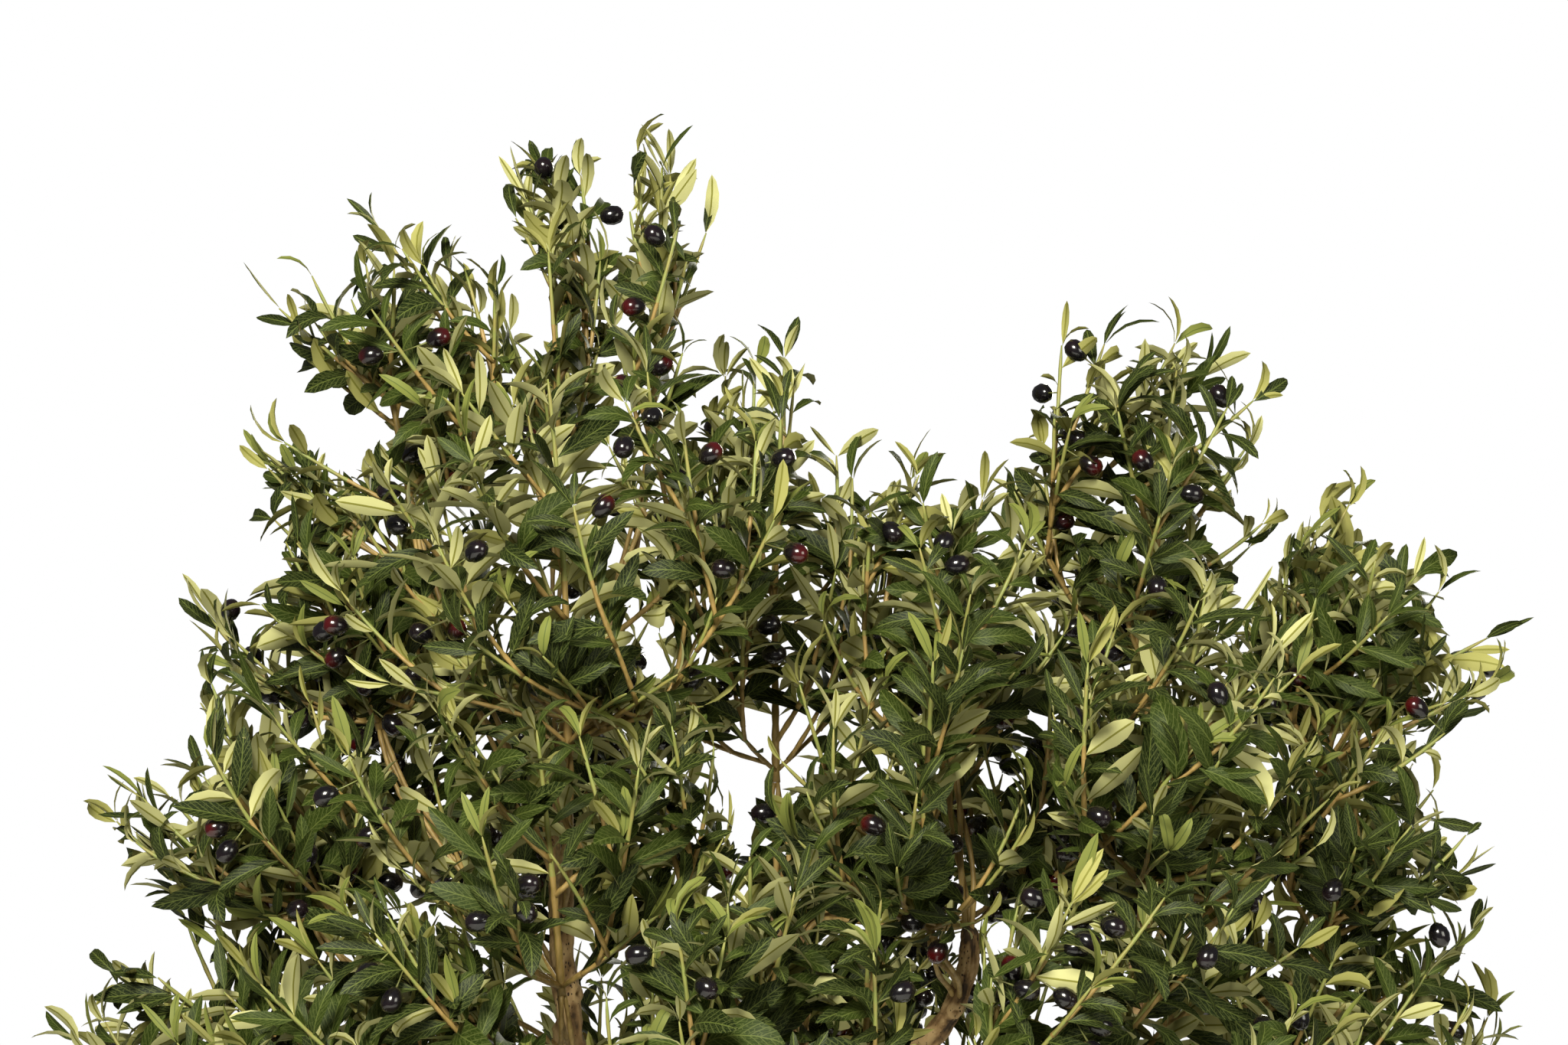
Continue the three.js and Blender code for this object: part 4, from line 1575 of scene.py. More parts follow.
# the crown's outline in the front view, from its lower left corner round
OUTLINE = (
    (-775, 900), (-775, 1290), (-768, 1350), (-732, 1416), (-690, 1400), (-645, 1400), (-612, 1366),
    (-596, 1392), (-618, 1420), (-642, 1444), (-682, 1467), (-700, 1500), (-722, 1578), (-694, 1602),
    (-650, 1584), (-632, 1606), (-600, 1592), (-622, 1626), (-602, 1660), (-632, 1690), (-610, 1712),
    (-640, 1798), (-604, 1798), (-584, 1786), (-540, 1806), (-550, 1840), (-540, 1884), (-534, 1898),
    (-612, 1912), (-596, 1978), (-552, 2008), (-536, 1976), (-522, 1986), (-510, 1950), (-478, 1964),
    (-440, 1974), (-482, 1992), (-515, 1990), (-556, 2030), (-540, 2080), (-573, 2114), (-514, 2158),
    (-478, 2068), (-464, 2112), (-468, 2164), (-450, 2203), (-402, 2166), (-326, 2160), (-300, 2130),
    (-262, 2092), (-262, 2034), (-238, 2056), (-250, 2094), (-279, 2128), (-290, 2190), (-309, 2214),
    (-294, 2240), (-276, 2267), (-228, 2263), (-202, 2247), (-171, 2200), (-176, 2160), (-180, 2132),
    (-170, 2170), (-166, 2210), (-160, 2240), (-168, 2290), (-142, 2304), (-50, 2310), (-84, 2262),
    (-90, 2222), (-62, 2212), (-80, 2176), (-46, 2146), (-104, 2128), (-62, 2100), (-112, 2078),
    (-96, 2040), (-72, 2020), (-96, 1996), (-80, 2040), (-62, 2054), (-42, 2030), (-27, 2064), (-14, 2036),
    (0, 2074), (14, 2050), (22, 2002), (57, 1992), (40, 1952), (38, 1920), (52, 1912), (76, 1947),
    (96, 1939), (136, 1930), (150, 1974), (174, 1969), (160, 1914), (216, 1925), (240, 1906), (243, 1938),
    (272, 1950), (264, 1980), (284, 2008), (296, 2054), (284, 2092), (350, 2092), (430, 2086), (470, 2044),
    (532, 2014), (516, 1963), (474, 1936), (490, 1912), (492, 1872), (470, 1854), (484, 1834), (500, 1870),
    (520, 1876), (574, 1902), (615, 1914), (656, 1878), (636, 1828), (692, 1836), (713, 1817), (716, 1797),
    (734, 1750), (776, 1757), (760, 1730), (776, 1707), (748, 1686), (748, 1668), (712, 1650), (728, 1632),
    (700, 1608), (668, 1590), (664, 1556), (676, 1540), (700, 1551), (759, 1543), (746, 1508), (700, 1487),
    (739, 1467), (720, 1444), (735, 1440), (712, 1408), (750, 1378), (740, 1352), (755, 1344), (748, 1320),
    (775, 1260), (775, 900),
)

# the tips that show on the outline, by the mass that each of them grows from
TIPS = {
    "right_of_peak": ((-100, 2300), (-156, 2286), (-60, 2140), (-68, 2200), (-124, 2262), (-130, 2216)),
    "left_of_peak": (
        (-272, 2262), (-220, 2258), (-304, 2210), (-180, 2196), (-250, 2240), (-284, 2140), (-264, 2252),
        (-288, 2232),
    ),
    "upper_left": (
        (-450, 2198), (-514, 2152), (-562, 2108), (-545, 2034), (-400, 2160), (-356, 2156), (-304, 2124),
        (-528, 2062), (-504, 2018),
    ),
    "left_shoulder": (
        (-580, 1962), (-552, 1996), (-526, 1974), (-600, 1920), (-622, 1792), (-464, 1956), (-540, 1930),
        (-566, 1946), (-556, 1976), (-602, 1762), (-606, 1726),
    ),
    "left_flank": ((-720, 1574), (-694, 1598), (-632, 1602), (-622, 1680), (-706, 1546), (-628, 1622)),
    "left_skirt": ((-756, 1344), (-728, 1410), (-672, 1398), (-676, 1464), (-640, 1440)),
    "upper_middle": (
        (-62, 2048), (-28, 2058), (0, 2066), (50, 1990), (14, 2036), (72, 1940), (-44, 2004), (-74, 1996),
        (-50, 1950), (-86, 1920),
    ),
    "middle_top": ((168, 1966), (144, 1940), (96, 1932), (218, 1918)),
    "right_peak": (
        (294, 2080), (350, 2080), (426, 2080), (466, 2038), (524, 2010), (508, 1960), (270, 1972),
    ),
    "right_shoulder": (
        (612, 1908), (574, 1894), (652, 1876), (708, 1814), (686, 1828), (522, 1862), (770, 1752),
        (766, 1706), (744, 1676), (540, 1880), (496, 1864),
    ),
    "right_flank": ((754, 1538), (724, 1630), (700, 1608), (704, 1556), (732, 1508)),
    "right_skirt": ((734, 1462), (744, 1376), (750, 1340), (730, 1440), (716, 1320)),
    "lower_left_front": ((-480, 1470), (-420, 1490), (-350, 1480), (-300, 1460)),
    "low_front": ((-120, 1480), (-60, 1500), (20, 1510), (84, 1496)),
    "low_right_front": ((200, 1460), (250, 1500), (330, 1510), (420, 1500), (486, 1488)),
    "back_middle": ((150, 1420), (120, 1380), (170, 1460), (60, 1400)),
    "back_low_right": ((200, 1390), (230, 1430), (180, 1350)),
}


def within_outline(points: Array) -> Array:
    """Tells which points stand within the crown's outline in the front view.

    Args:
        points: The points.

    Returns:
        Yes or no for each point.
    """
    x, z = seen_at(points)
    inside = np.zeros(x.shape, dtype=bool)
    for (x1, z1), (x2, z2) in zip(OUTLINE, OUTLINE[1:] + OUTLINE[:1]):
        if z1 != z2:
            crosses = (z > min(z1, z2)) & (z <= max(z1, z2))
            inside ^= crosses & (x < x1 + (z - z1) * (x2 - x1) / (z2 - z1))
    return inside


class Shade(Enum):
    """The print of a spray's leaves: the slots of their upper and lower cloth."""

    DEEP = (0, 3)
    DARK = (0, 4)
    GREEN = (1, 3)
    FRESH = (2, 4)


@dataclass
class LeafShape:
    """One leaf: a closed blade, six corners round at each station, with its midrib as a strip of its own."""

    stations: tuple[float, ...] = (0.06, 0.22, 0.45, 0.68, 0.88)
    widths: tuple[float, ...] = (0.16, 0.7, 1.0, 0.92, 0.54)
    thickness: float = 0.7
    rib_top: float = 0.55  # half the midrib's width above, in millimetres,
    rib_under: float = 0.95  # and below

    CORNERS = 6
    ACROSS = (0.0, 0.47, 0.53, 1.0, 0.55, 0.45)
    RIB_TOP_SLOT = 5
    RIB_UNDER_SLOT = 6
    RIB_SHARES = (0.45, 0.5)
    LEAST_BEND = 0.02

    def faces(self) -> tuple[Array, Array, Array, Array]:
        """The faces of one leaf.

        Returns:
            Corners, face sizes, slots (0 above, 1 below, or a midrib's) and each corner's place on the leaf.
        """
        rings, around = len(self.stations), self.CORNERS
        base, tip = rings * around, rings * around + 1
        strips = [0, self.RIB_TOP_SLOT, 0, 1, self.RIB_UNDER_SLOT, 1]
        places = [(s, 0.5 + (v - 0.5) * w) for s, w in zip(self.stations, self.widths) for v in self.ACROSS]
        places += [(0.0, 0.5), (1.0, 0.5)]
        corners, sizes, slots = [], [], []
        for side, slot in enumerate(strips):
            after = (side + 1) % around
            corners += [base, after, side]
            sizes.append(3)
            slots.append(slot)
            for ring in range(rings - 1):
                near, far = ring * around + side, ring * around + after
                quad = [far, far + around, near + around, near]
                corners += quad[1:] + quad[:1] if side % 3 == 0 else quad  # both sides split alike
                sizes.append(4)
                slots.append(slot)
            last = (rings - 1) * around
            corners += [last + after, tip, last + side]
            sizes.append(3)
            slots.append(slot)
        corner_row = np.array(corners)
        return corner_row, np.array(sizes), np.array(slots), np.array(places)[corner_row]

    def points(self, leaves: Leaves) -> Array:
        """The vertices of many leaves.

        Args:
            leaves: Base, ahead, face, length, width, bend, fold and twist of each.

        Returns:
            Vertices by leaf, by vertex, by axis.
        """
        s = np.array([*self.stations, 0.0, 1.0])[None, :, None]
        column = {name: leaves[name][:, None, None] for name in ("length", "width", "bend", "fold", "twist")}
        ahead, face = leaves["ahead"][:, None, :], leaves["face"][:, None, :]
        side = np.cross(face, ahead)
        bend = np.where(np.abs(column["bend"]) < self.LEAST_BEND, self.LEAST_BEND, column["bend"])
        along = ahead * np.sin(bend * s) / bend - face * (1 - np.cos(bend * s)) / bend
        spine = leaves["base"][:, None, :] + along * column["length"]
        normal = face * np.cos(bend * s) + ahead * np.sin(bend * s)
        twist = column["twist"] * s
        flat = side * np.cos(twist) + normal * np.sin(twist)
        lifted = normal * np.cos(twist) - side * np.sin(twist)
        half = column["width"] / 2 * np.array([*self.widths, 0.0, 0.0])[None, :, None]
        most_top, most_under = self.RIB_SHARES
        rib_top = np.minimum(self.rib_top, half * most_top)
        rib_under = np.minimum(self.rib_under, half * most_under)
        edge = lifted * half * column["fold"]
        above = lifted * (self.thickness / 2 + rib_top * column["fold"])
        below = lifted * (self.thickness / 2 - rib_under * column["fold"])
        ring = [
            spine + flat * half + edge,
            spine + flat * rib_top + above,
            spine - flat * rib_top + above,
            spine - flat * half + edge,
            spine - flat * rib_under - below,
            spine + flat * rib_under - below,
        ]
        rings = np.stack([corner[:, :-2] for corner in ring], axis=2).reshape(len(spine), -1, 3)
        return np.concatenate([rings, spine[:, -2:]], axis=1)

    def outline_edges(self, mesh: Mesh) -> None:
        """Marks the outline of every leaf as sharp, so that its two sides shade apart.

        Args:
            mesh: A mesh of leaves and nothing else.
        """
        around = self.CORNERS
        per_leaf = len(self.stations) * around + 2
        ends = np.empty(len(mesh.edges) * 2, dtype=np.int32)
        mesh.edges.foreach_get("vertices", ends)
        local = ends.reshape(-1, 2) % per_leaf
        on_edge = (local % (around // 2) == 0) | (local >= per_leaf - 2)
        same_side = (local[:, 0] % around == local[:, 1] % around) | (local.max(axis=1) >= per_leaf - 2)
        sharp = mesh.attributes.new("sharp_edge", "BOOLEAN", "EDGE")
        sharp.data.foreach_set("value", on_edge.all(axis=1) & same_side)


@dataclass(frozen=True)
class LeafHabit:
    """How leaves stand on their twig, and how far each may stray from that."""

    spacing: float = 25.0  # from one pair to the next
    run_stray: float = 2.0
    grown: float = 110.0  # at this run from the tip
    length: float = 78.0
    young_length: float = 0.7  # a share of its full length near the tip
    length_spread: Triple = (0.14, 0.7, 1.3)  # and the least and the most
    width: float = 0.275  # of its length
    young_width: float = 0.78
    width_spread: Triple = (0.15, 0.65, 1.3)
    angle: float = 1.02  # to its twig, in radians, where it is old,
    young_angle: float = 0.62  # and near the twig's tip
    angle_spread: float = 0.13
    last_leaves: int = 3
    last_angles: Pair = (0.1, 0.5)
    slant: float = 0.6  # how far every other pair turns towards the crown's inside, in radians
    slant_stray: float = 0.3
    turned_shares: tuple[float, ...] = (0.1, 0.2, 0.35, 0.65)  # how many leaves show their underside
    shown_pull: Pair = (0.4, 1.2)  # how much a leaf faces outward,
    own_pull: float = 0.6  # beside facing up along its twig
    face_spread: float = 0.25
    foot: float = 0.7  # of the twig's radius
    bend: Triple = (0.9, 0.35, 0.35)  # with the spread of sprays and of leaves
    folds: Pair = (0.1, 0.55)
    twist_spread: float = 0.45

    def pairs(self, shoot: Shoot, space: Space, rng: Chances) -> Leaves:
        """Sets leaves on a shoot, in pairs to its left and right as seen from outside, and some at its tip.

        Args:
            shoot: The shoot.
            space: The space of its mass.
            rng: Its chances.

        Returns:
            What LeafShape.points needs, with each leaf's way out, its age and its run along the shoot.
        """
        length = shoot.line.length
        wood = shoot.wood * length
        first = shoot.first * length
        steps = max(2, round((wood - first) / self.spacing))
        run = np.append(np.repeat(np.linspace(first, wood, steps + 1), 2), wood)
        count = len(run)
        run = np.clip(run + rng.uniform(-self.run_stray, self.run_stray, count), 0, wood)
        place = run / length
        age = np.clip((wood - run) / self.grown, 0, 1)
        tangent = shoot.line.heading(place)
        base = shoot.line.at(place)
        across = unit(np.cross(tangent, unit(base - space.centre) + UP * NUDGE))
        over = np.cross(across, tangent)
        pair, member = np.divmod(np.arange(count), 2)
        slant = (pair % 2 * 2 - 1) * self.slant + rng.uniform(-self.slant_stray, self.slant_stray, count)
        turn = member * math.pi + slant
        out = across * np.cos(turn)[:, None] + over * np.sin(turn)[:, None]
        angle = lerp(self.young_angle, self.angle, age) + rng.normal(0, self.angle_spread, count)
        last = np.arange(count) >= count - self.last_leaves
        angle = np.where(last, rng.uniform(*self.last_angles, count), angle)
        ahead = tangent * np.cos(angle)[:, None] + out * np.sin(angle)[:, None]
        face = tangent * np.sin(angle)[:, None] - out * np.cos(angle)[:, None]
        shows_under = rng.random(count) < rng.choice(self.turned_shares)
        shown = np.where(shows_under, -1.0, 1.0) * rng.uniform(*self.shown_pull, count)
        face = face * self.own_pull + over * shown[:, None] + rng.normal(0, self.face_spread, (count, 3))
        face = unit(face - ahead * (face * ahead).sum(axis=1)[:, None])
        radius = lerp(*shoot.radii, np.clip(place / shoot.wood, 0, 1))[:, None]
        spread, *limits = self.length_spread
        size = self.length * lerp(self.young_length, 1.0, age) * rng.normal(1.0, spread, count).clip(*limits)
        spread, *limits = self.width_spread
        width = size * self.width * lerp(self.young_width, 1.0, age)
        width = width * rng.normal(1.0, spread, count).clip(*limits)
        bend, spray_spread, leaf_spread = self.bend
        return {
            "base": base + out * radius * self.foot,
            "ahead": ahead,
            "face": face,
            "out": out,
            "length": size,
            "width": width,
            "bend": rng.normal(bend, spray_spread) + rng.normal(0, leaf_spread, count),
            "fold": rng.uniform(*self.folds, count),
            "twist": rng.normal(0, self.twist_spread, count),
            "age": age,
            "run": run,
        }


@dataclass(frozen=True)
class Fruit:
    """One olive: its stalk's foot, the way it hangs, its middle and its stalk's length."""

    foot: Array
    way: Array
    middle: Array
    stalk: float
    luck: Array  # two numbers from 0 to 1, for its turn and its colour


@dataclass
class Foliage:
    """Twigs, leaves and olives of every mass."""

    limbs: Limbs
    growth: Growth = field(default_factory=Growth)
    shape: LeafShape = field(default_factory=LeafShape)
    habit: LeafHabit = field(default_factory=LeafHabit)
    seed: int = 77
    limb_margin: float = 2.0
    nearby: float = 700.0  # limbs further off are in no leaf's way
    tries: int = 3
    shorter: float = 0.82  # what a leaf keeps of its length at each
    checked: tuple[float, ...] = (0.4, 0.75, 1.0)  # where along a leaf its fit is checked,
    checked_half: float = 0.4  # and how far out, of its width
    checked_wood: Span = (0.1, 1, 14)  # where along a twig its wood is
    least_share: float = 0.3  # a twig that keeps fewer of its leaves is left out
    most_bare: float = 0.25  # and so is one with more of its wood than this across an opening
    least_leader: float = 0.5  # of a leader is always there
    shade_shares: tuple[float, ...] = (0.4, 0.25, 0.35)  # how many sprays are deep, dark and green
    fresh_share: float = 0.35  # how many shoots have fresh leaves at their tips
    fresh_age: float = 0.16
    prints: int = 40
    twig_sides: int = 5
    twig_rings: int = 3
    twig_swell: float = 1.22  # at each pair
    twig_end: float = 0.4
    green_from: float = 0.45
    fruit_share: float = 0.25
    fruit_out: float = 0.7  # how far out in its mass an olive hangs at least
    fruit_age: float = 0.15
    fruit_twins: float = 0.3  # how many hang in pairs
    fruit_pulls: Triple = (0.9, 0.5, 0.35)  # away from the twig, along the leaf and down
    fruit_sway: float = 0.35
    fruit_stalks: Pair = (12, 28)
    fruit_apart: float = 25.0  # from one middle to the next
    fruit_depth: float = 0.45  # of how far olives hang to the sides

    def __post_init__(self) -> None:
        """Gathers what the leaves keep clear of."""
        self.limb_points, self.limb_radii = self.limbs.samples()
        self.fruit: list[Fruit] = []
        self.leaf_count = 0

    def clear_of_limbs(self, points: Array) -> Array:
        """Tells which points keep clear of every limb.

        Args:
            points: The points of one twig.

        Returns:
            Yes or no for each point.
        """
        flat = points.reshape(-1, 3)
        near = np.linalg.norm(self.limb_points - flat.mean(axis=0), axis=1) < self.nearby
        away = np.linalg.norm(flat[:, None, :] - self.limb_points[near][None, :, :], axis=2)
        return ((away - self.limb_radii[near]).min(axis=1) > self.limb_margin).reshape(points.shape[:-1])

    def fitted(self, leaves: Leaves, space: Space, inset: float) -> Leaves:
        """Shortens leaves that would leave the space or touch a limb, and leaves out those that still do.

        Args:
            leaves: Leaves as LeafHabit.pairs gives them.
            space: The space of their mass.
            inset: How far they stay in from the crown's outline.

        Returns:
            The leaves that fit.
        """
        for attempt in range(self.tries):
            reach = np.array(self.checked)[None, :, None]
            drop = leaves["bend"][:, None, None] * reach**2 * 0.5
            span = leaves["ahead"][:, None, :] * reach - leaves["face"][:, None, :] * drop
            spots = leaves["base"][:, None, :] + span * leaves["length"][:, None, None]
            fits = (space.holds(spots) & self.clear_of_limbs(spots)).all(axis=1)
            fits &= within_outline(spots + unit(spots - space.centre) * inset).all(axis=1)
            side = np.cross(leaves["face"], leaves["ahead"]) * leaves["width"][:, None] * self.checked_half
            blades = np.concatenate([spots[:, :2] + way * side[:, None, :] for way in (-1, 0, 1)], axis=1)
            fits &= ~self.in_opening(blades).any(axis=1)
            if attempt < self.tries - 1:
                shorter = np.where(fits, 1.0, self.shorter)
                leaves["length"] = leaves["length"] * shorter
                leaves["width"] = leaves["width"] * np.sqrt(shorter)
        return {name: values[fits] for name, values in leaves.items()}

    def in_opening(self, points: Array) -> Array:
        """Whether each point stands in one of the crown's openings."""
        return np.any([opening.covers(points) for opening in OPENINGS], axis=0)

    def in_front_view(self, points: Array) -> Array:
        """Whether each point is within the crown's outline and in none of its openings."""
        return within_outline(points) & ~self.in_opening(points)

    def shades(self, leaves: Leaves, rng: Chances) -> Array:
        """Deals a print to a spray's leaves, with a fresher one to its last leaves.

        Args:
            leaves: The spray's leaves.
            rng: Its chances.

        Returns:
            The upper and lower slot of each leaf.
        """
        choice = rng.choice([Shade.DEEP, Shade.DARK, Shade.GREEN], p=self.shade_shares)
        slots = np.tile(choice.value, (len(leaves["age"]), 1))
        if rng.random() < self.fresh_share:
            slots[leaves["age"] < self.fresh_age] = Shade.FRESH.value
        return slots

    def twig(self, shoot: Shoot, weave: Weave) -> None:
        """Adds a shoot's wood: a slim tube, tan at its root and green at its tip, that swells at each pair.

        Args:
            shoot: The shoot.
            weave: Where it goes.
        """
        steps = max(self.twig_rings, round(shoot.wood * shoot.line.length / self.habit.spacing))
        shares = np.linspace(0, 1, steps * 2 + 1)
        swelling = np.where(np.arange(len(shares)) % 2 == 0, self.twig_swell, 1.0)
        radii = lerp(*shoot.radii, shares) * swelling
        radii[-1] *= self.twig_end
        headings = shoot.line.heading(shares * shoot.wood)
        across = carried_sides(headings)
        middles = shoot.line.at(shares * shoot.wood)
        green = (shares[:-1].repeat(self.twig_sides) > self.green_from).astype(int)
        slots = np.concatenate([green, [0, 1]])
        weave.tube(middles, across, np.cross(headings, across), radii, slots)

    def hang_fruit(self, leaves: Leaves, space: Space, rng: Chances) -> None:
        """Hangs olives, alone or in pairs, from some places along a shoot.

        Args:
            leaves: The shoot's leaves.
            space: The space of the mass.
            rng: Its chances.
        """
        outer = np.linalg.norm((leaves["base"] - space.centre) / space.size, axis=1)
        chosen = rng.random(len(outer)) < self.fruit_share
        chosen &= (outer > self.fruit_out) & (leaves["age"] > self.fruit_age)
        outward, along, down = self.fruit_pulls
        for i in np.flatnonzero(chosen):
            for _ in range(1 + (rng.random() < self.fruit_twins)):
                way = leaves["out"][i] * outward + leaves["ahead"][i] * along - UP * down
                way = way + rng.normal(0, self.fruit_sway, 3)
                way = unit(way * point(1, self.fruit_depth, 1))
                stalk = rng.uniform(*self.fruit_stalks)
                middle = leaves["base"][i] + way * (stalk + Olives.LENGTH / 2)
                free = space.holds(middle[None]) & self.clear_of_limbs(middle[None] + UP)
                apart = all(np.linalg.norm(one.middle - middle) > self.fruit_apart for one in self.fruit)
                if apart and (free & self.in_front_view(middle[None]))[0]:
                    self.fruit.append(Fruit(leaves["base"][i], way, middle, stalk, rng.random(2)))

    def build(self) -> list[Piece]:
        """Grows every mass.

        Returns:
            A piece of leaves and a piece of twigs for each part of the crown, and the olives.
        """
        cloths = self.cloths()
        woods = [
            StemPlastic("tan_twig", tint(172, 142, 84), tint(140, 118, 62)).material(),
            StemPlastic("green_twig", tint(138, 146, 76), tint(152, 142, 78)).material(),
        ]
        pieces = []
        for part, names in PARTS.items():
            leaf_weave, twig_weave = Weave(), Weave()
            for name in names:
                self.grow(Space(name), leaf_weave, twig_weave)
            mesh = leaf_weave.mesh(part + "_leaves")
            self.shape.outline_edges(mesh)
            leaves = new_object(part + "_leaves", mesh, cloths)
            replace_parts(leaves, *names)
            twigs = new_object(part + "_twigs", twig_weave.mesh(part + "_twigs"), woods)
            pieces += [leaves, twigs]
        log.info("%d leaves, %d olives", self.leaf_count, len(self.fruit))
        return pieces + Olives().build(self.fruit)

    def grow(self, space: Space, leaf_weave: Weave, twig_weave: Weave) -> None:
        """Grows one mass.

        Args:
            space: Its space.
            leaf_weave: Where its leaves go.
            twig_weave: Where its wood goes.
        """
        rng = np.random.default_rng(self.seed + space.index)
        growth = self.growth
        leader, *others = growth.main_shoots(space, self.limbs.all[space.name + "_stem"])
        dressed = [self.dressed(leader, space, rng, self.least_leader)]
        dressed += [self.dressed(shoot, space, rng) for shoot in others]
        dressed = [pair for pair in dressed if pair]
        roots, headings = (np.concatenate(rows) for rows in zip(
            *(growth.rooting(shoot, growth.shoot_rooting) for shoot, _ in dressed)
        ))
        for target, inset in growth.targets(space, rng):
            twig = growth.twig_to(target, space, roots, headings, rng)
            pair = twig and self.dressed(replace(twig, inset=inset), space, rng)
            if pair:
                dressed.append(pair)
                more_roots, more_headings = growth.rooting(pair[0], growth.twig_rooting)
                roots = np.concatenate([roots, more_roots])
                headings = np.concatenate([headings, more_headings])
        for shoot, leaves in dressed:
            self.twig(shoot, twig_weave)
            self.hang_fruit(leaves, space, rng)
            self.weave_leaves(leaves, leaf_weave, rng)

    def dressed(
        self, shoot: Shoot, space: Space, rng: Chances, least_wood: float = 0.0
    ) -> tuple[Shoot, Leaves] | None:
        """Sets leaves on a shoot and ends its wood at the last of them.

        Args:
            shoot: The shoot.
            space: The space of its mass.
            rng: Its chances.
            least_wood: How much of its line stays wood in any case. Above 0 it is kept however bare it is.

        Returns:
            The shoot and its leaves, or nothing where too few leaves fit or too much wood would show.
        """
        asked = self.habit.pairs(shoot, space, rng)
        leaves = self.fitted(asked, space, shoot.inset)
        reach = np.append(leaves["run"], 0.0).max() / shoot.line.length
        shoot = replace(shoot, wood=max(min(reach, shoot.wood), least_wood))
        few = len(leaves["run"]) < self.least_share * len(asked["run"])
        if few and not least_wood:
            return None
        wood = shoot.line.at(np.linspace(*self.checked_wood) * shoot.wood)
        if not least_wood and (~self.in_front_view(wood)).mean() > self.most_bare:
            return None
        return shoot, leaves

    def weave_leaves(self, leaves: Leaves, weave: Weave, rng: Chances) -> None:
        """Adds a shoot's leaves to a weave.

        Args:
            leaves: The leaves.
            weave: Where they go.
            rng: Its chances.
        """
        corners, sizes, kinds, places = self.shape.faces()
        count = len(leaves["length"])
        if not count:
            return
        slots = self.shades(leaves, rng)
        points = self.shape.points(leaves)
        shifted = corners[None, :] + np.arange(count)[:, None] * points.shape[1]
        dealt = np.where(kinds[None, :] < 2, slots[:, np.clip(kinds, 0, 1)], kinds[None, :])
        moved = places[None] + rng.integers(0, self.prints, (count, 1, 1)) * np.array([1.0, 0.0])
        moved = moved.reshape(-1, 2)
        weave.add(points.reshape(-1, 3), shifted.ravel(), np.tile(sizes, count), dealt.ravel(), moved)
        self.leaf_count += count

    def cloths(self) -> list[Material]:
        """Makes the leaves' materials.

        Returns:
            The materials, in the order of their slots.
        """
        veins = tint(112, 120, 66)
        finishes = [
            LeafCloth("deep_leaf", tint(21, 32, 7), veins, 0.42, roughness=0.52, shine=0.14),
            LeafCloth("green_leaf", tint(41, 54, 13), veins, 0.38, roughness=0.52, shine=0.14),
            LeafCloth("fresh_leaf", tint(118, 124, 60), veins, 0.25),
            LeafCloth("pale_underleaf", tint(192, 190, 132), veins),
            LeafCloth("olive_underleaf", tint(166, 163, 96), veins),
            LeafCloth("pale_midrib", tint(88, 98, 46), veins),
            LeafCloth("dark_midrib", tint(130, 128, 58), veins),
        ]
        return [finish.material() for finish in finishes]


@dataclass
class Olives:
    """Moulded olives on thin stalks, most of them black and some red at one end."""

    width: float = 21.5
    around: int = 12
    up: int = 6
    drawn: float = 0.05  # how far its ends shift, of its length
    stalk_radius: float = 0.8
    stalk_flare: Pair = (0.7, 1.9)
    stalk_sunk: float = 1.5
    red_share: float = 0.32

    LENGTH = 27.0
    STALK_SIDES = 4
    TURN_HINT = (0.3, 1)

    def template(self) -> tuple[Array, Array, Array]:
        """Makes one upright olive, its stalk's end at its top.

        Returns:
            Its vertices, the corners of its faces in one row, and how many corners each face has.
        """
        bm = bmesh.new()
        bmesh.ops.create_uvsphere(bm, u_segments=self.around, v_segments=self.up, radius=0.5)
        bmesh.ops.scale(bm, vec=(self.width, self.width, self.LENGTH), verts=bm.verts)
        for vert in bm.verts:
            inner = 1 - (2 * vert.co.x / self.width) ** 2 - (2 * vert.co.y / self.width) ** 2
            vert.co.z += self.drawn * self.LENGTH * inner**4
        return shape_of(bm)

    def build(self, fruit: list[Fruit]) -> list[Piece]:
        """Joins all olives into one piece and all stalks into another.

        Args:
            fruit: Every olive.

        Returns:
            Both pieces.
        """
        shape, corners, sizes = self.template()
        heights = np.stack([np.full(len(shape), 0.5), shape[:, 2] / self.LENGTH + 0.5], axis=1)[corners]
        olives, stalks = Weave(), Weave()
        for one in fruit:
            down = -one.way
            side = unit(np.cross(down, point(one.luck[0], *self.TURN_HINT)))
            turn = np.stack([side, np.cross(down, side), down])
            middle = one.foot + one.way * (one.stalk + self.LENGTH * 0.5)
            red = int(one.luck[1] < self.red_share)
            olives.add(shape @ turn + middle, corners, sizes, np.full(len(sizes), red), heights)
            self.stalk(one, side, stalks)
        skins = [
            OliveSkin("black_olive", tint(16, 13, 17), tint(24, 15, 20)).material(),
            OliveSkin("reddening_olive", tint(18, 12, 15), tint(66, 10, 13)).material(),
        ]
        thin = StemPlastic("olive_stalk", tint(120, 126, 66), tint(96, 92, 50)).material()
        return [
            new_object("olives", olives.mesh("olives"), skins),
            new_object("olive_stalks", stalks.mesh("olive_stalks"), [thin]),
        ]

    def stalk(self, one: Fruit, side: Array, weave: Weave) -> None:
        """Adds one thin stalk from its twig into the olive.

        Args:
            one: The olive.
            side: A unit direction across it.
            weave: Where it goes.
        """
        start, flare = self.stalk_flare
        runs = np.array([0.0, one.stalk * start, one.stalk + self.stalk_sunk])
        radii = self.stalk_radius * np.array([1.0, 1.0, flare])
        middles = one.foot + one.way * runs[:, None]
        over = np.cross(one.way, side)
        faces = self.STALK_SIDES * (len(runs) - 1) + 2
        weave.tube(middles, side[None], over[None], radii, np.zeros(faces))


@dataclass(frozen=True)
class Softbox:
    """One square soft light: its place, its side and its power in watts."""

    name: str
    place: Triple
    size: float
    power: float


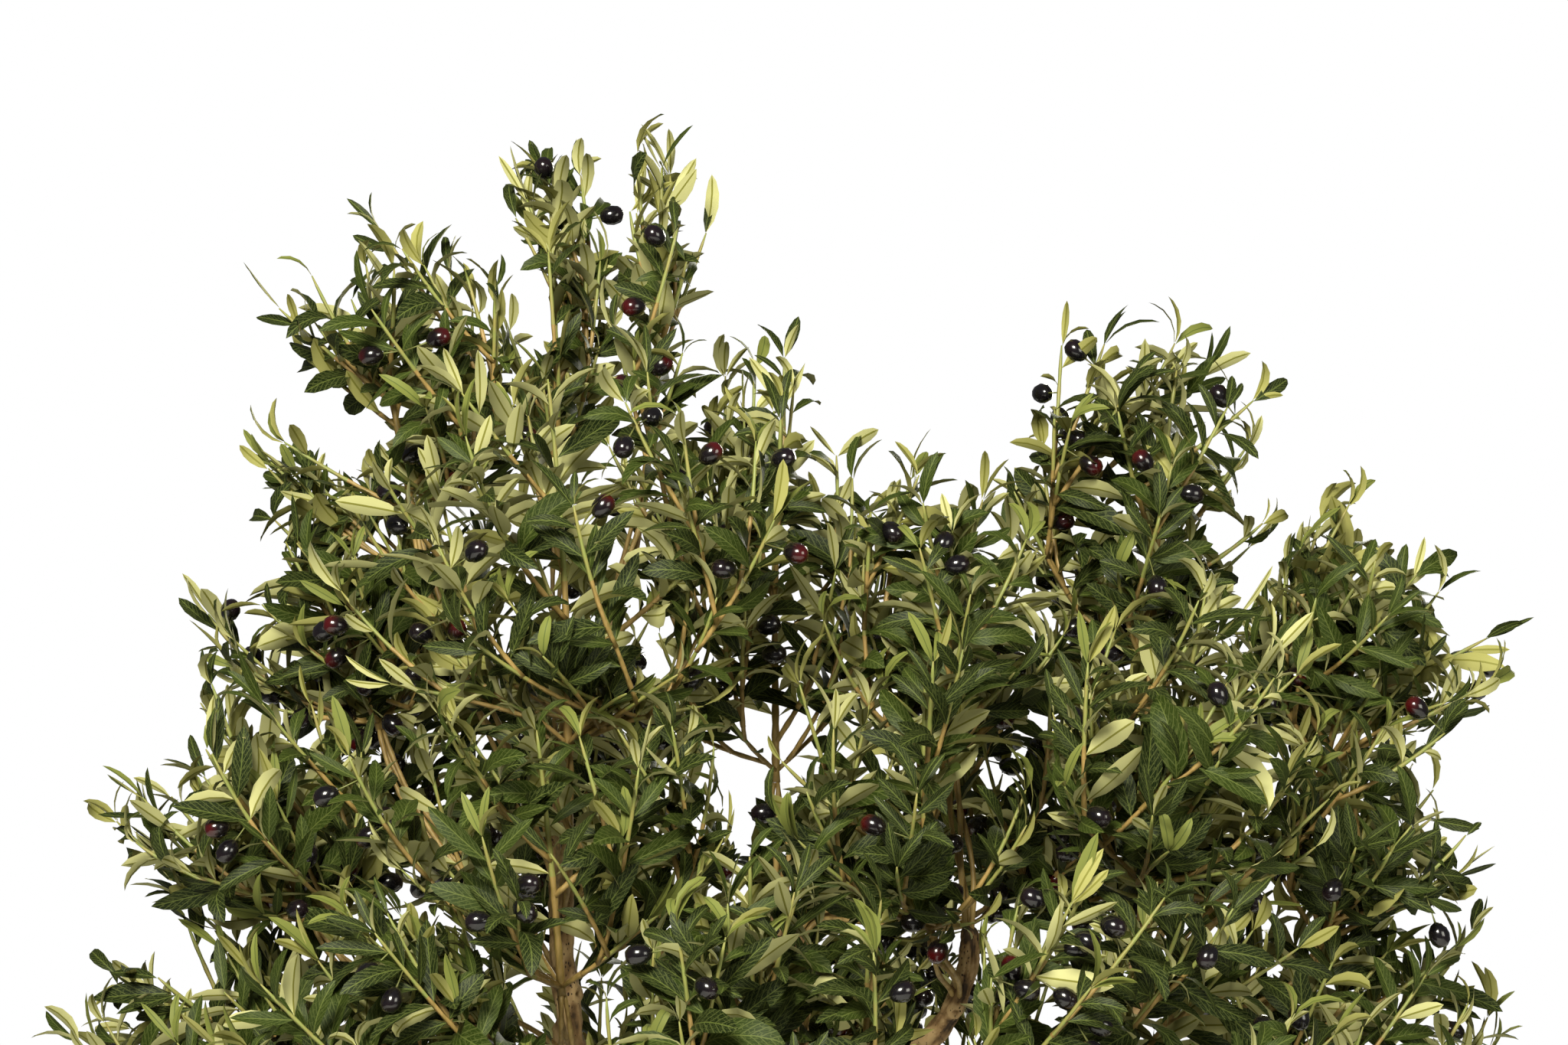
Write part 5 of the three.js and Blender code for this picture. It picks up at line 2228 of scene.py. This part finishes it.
@dataclass
class Studio:
    """Pale floor, soft lights, white surroundings and the camera."""

    aim: Triple = (0, 0, 1852)
    frame_width: float = 1640  # what the camera takes in at the crown
    sensor: float = 36
    floor_half: float = 3200
    floor_tint: Colour = tint(226, 226, 224)
    backdrop: float = 1.0
    glow: float = 0.09  # how much light the surroundings give
    light_tint: Triple = (1.0, 0.98, 0.85)
    lights: tuple[Softbox, ...] = (
        Softbox("key_light", (-900, -3900, 3600), 1300, 320),
        Softbox("fill_light", (2600, -2600, 2200), 1600, 40),
        Softbox("back_light", (1500, 3900, 3000), 1800, 110),
    )

    def build(self) -> None:
        """Builds floor, lights, surroundings and camera."""
        self.floor()
        self.surroundings()
        for box in self.lights:
            self.softbox(box)
        self.camera()

    def floor(self) -> None:
        """Lays the floor."""
        bm = bmesh.new()
        bmesh.ops.create_grid(bm, x_segments=1, y_segments=1, size=self.floor_half)
        piece = bpy.data.objects.new("floor", mesh_of(bm, "floor"))
        bpy.context.scene.collection.objects.link(piece)
        recipe = Recipe("pale_floor").set(roughness=0.8, base_color=self.floor_tint)
        piece.data.materials.append(recipe.material)

    def surroundings(self) -> None:
        """Makes everything round the tree white."""
        world = bpy.data.worlds.new("white_surroundings")
        world.use_nodes = True
        nodes, links = world.node_tree.nodes, world.node_tree.links
        background = nodes["Background"]
        background.inputs["Color"].default_value = WHITE
        seen = nodes.new("ShaderNodeLightPath").outputs["Is Camera Ray"]
        strength = nodes.new("ShaderNodeMapRange")
        links.new(seen, strength.inputs["Value"])
        strength.inputs["To Min"].default_value = self.glow
        strength.inputs["To Max"].default_value = self.backdrop
        links.new(strength.outputs["Result"], background.inputs["Strength"])
        bpy.context.scene.world = world

    def softbox(self, box: Softbox) -> None:
        """Sets up one soft light, aimed where the camera is.

        Args:
            box: The light.
        """
        light = bpy.data.lights.new(box.name, "AREA")
        light.energy = box.power
        light.color = self.light_tint
        light.size = box.size * MM
        lamp = bpy.data.objects.new(box.name, light)
        lamp.location = Vector(box.place) * MM
        lamp.rotation_euler = (Vector(self.aim) - Vector(box.place)).to_track_quat("-Z", "Y").to_euler()
        bpy.context.scene.collection.objects.link(lamp)

    def camera(self) -> None:
        """Sets the camera at the photograph's angle."""
        away = Vector(self.aim) - Vector(EYE)
        data = bpy.data.cameras.new("camera")
        data.sensor_width = self.sensor
        data.lens = self.sensor * away.length / self.frame_width
        data.dof.use_dof = False
        camera = bpy.data.objects.new("camera", data)
        camera.location = Vector(EYE) * MM
        camera.rotation_euler = away.to_track_quat("-Z", "Y").to_euler()
        bpy.context.scene.collection.objects.link(camera)
        bpy.context.scene.camera = camera


def main() -> None:
    """Builds the tree and its studio, and reports each piece."""
    logging.basicConfig(level=logging.INFO, format="%(message)s")
    bpy.context.scene.view_settings.view_transform = "Standard"
    limbs = Limbs()
    pot = Pot()
    pieces = [pot.build(), *Filling(pot).build()]
    pieces += BarkedWood(limbs).build()
    pieces.append(Stems(limbs).build())
    pieces += Foliage(limbs).build()
    for piece in pieces:
        log.info("%s: %d faces", piece.name, len(piece.data.polygons))
    Studio().build()


if __name__ == "__main__":
    main()
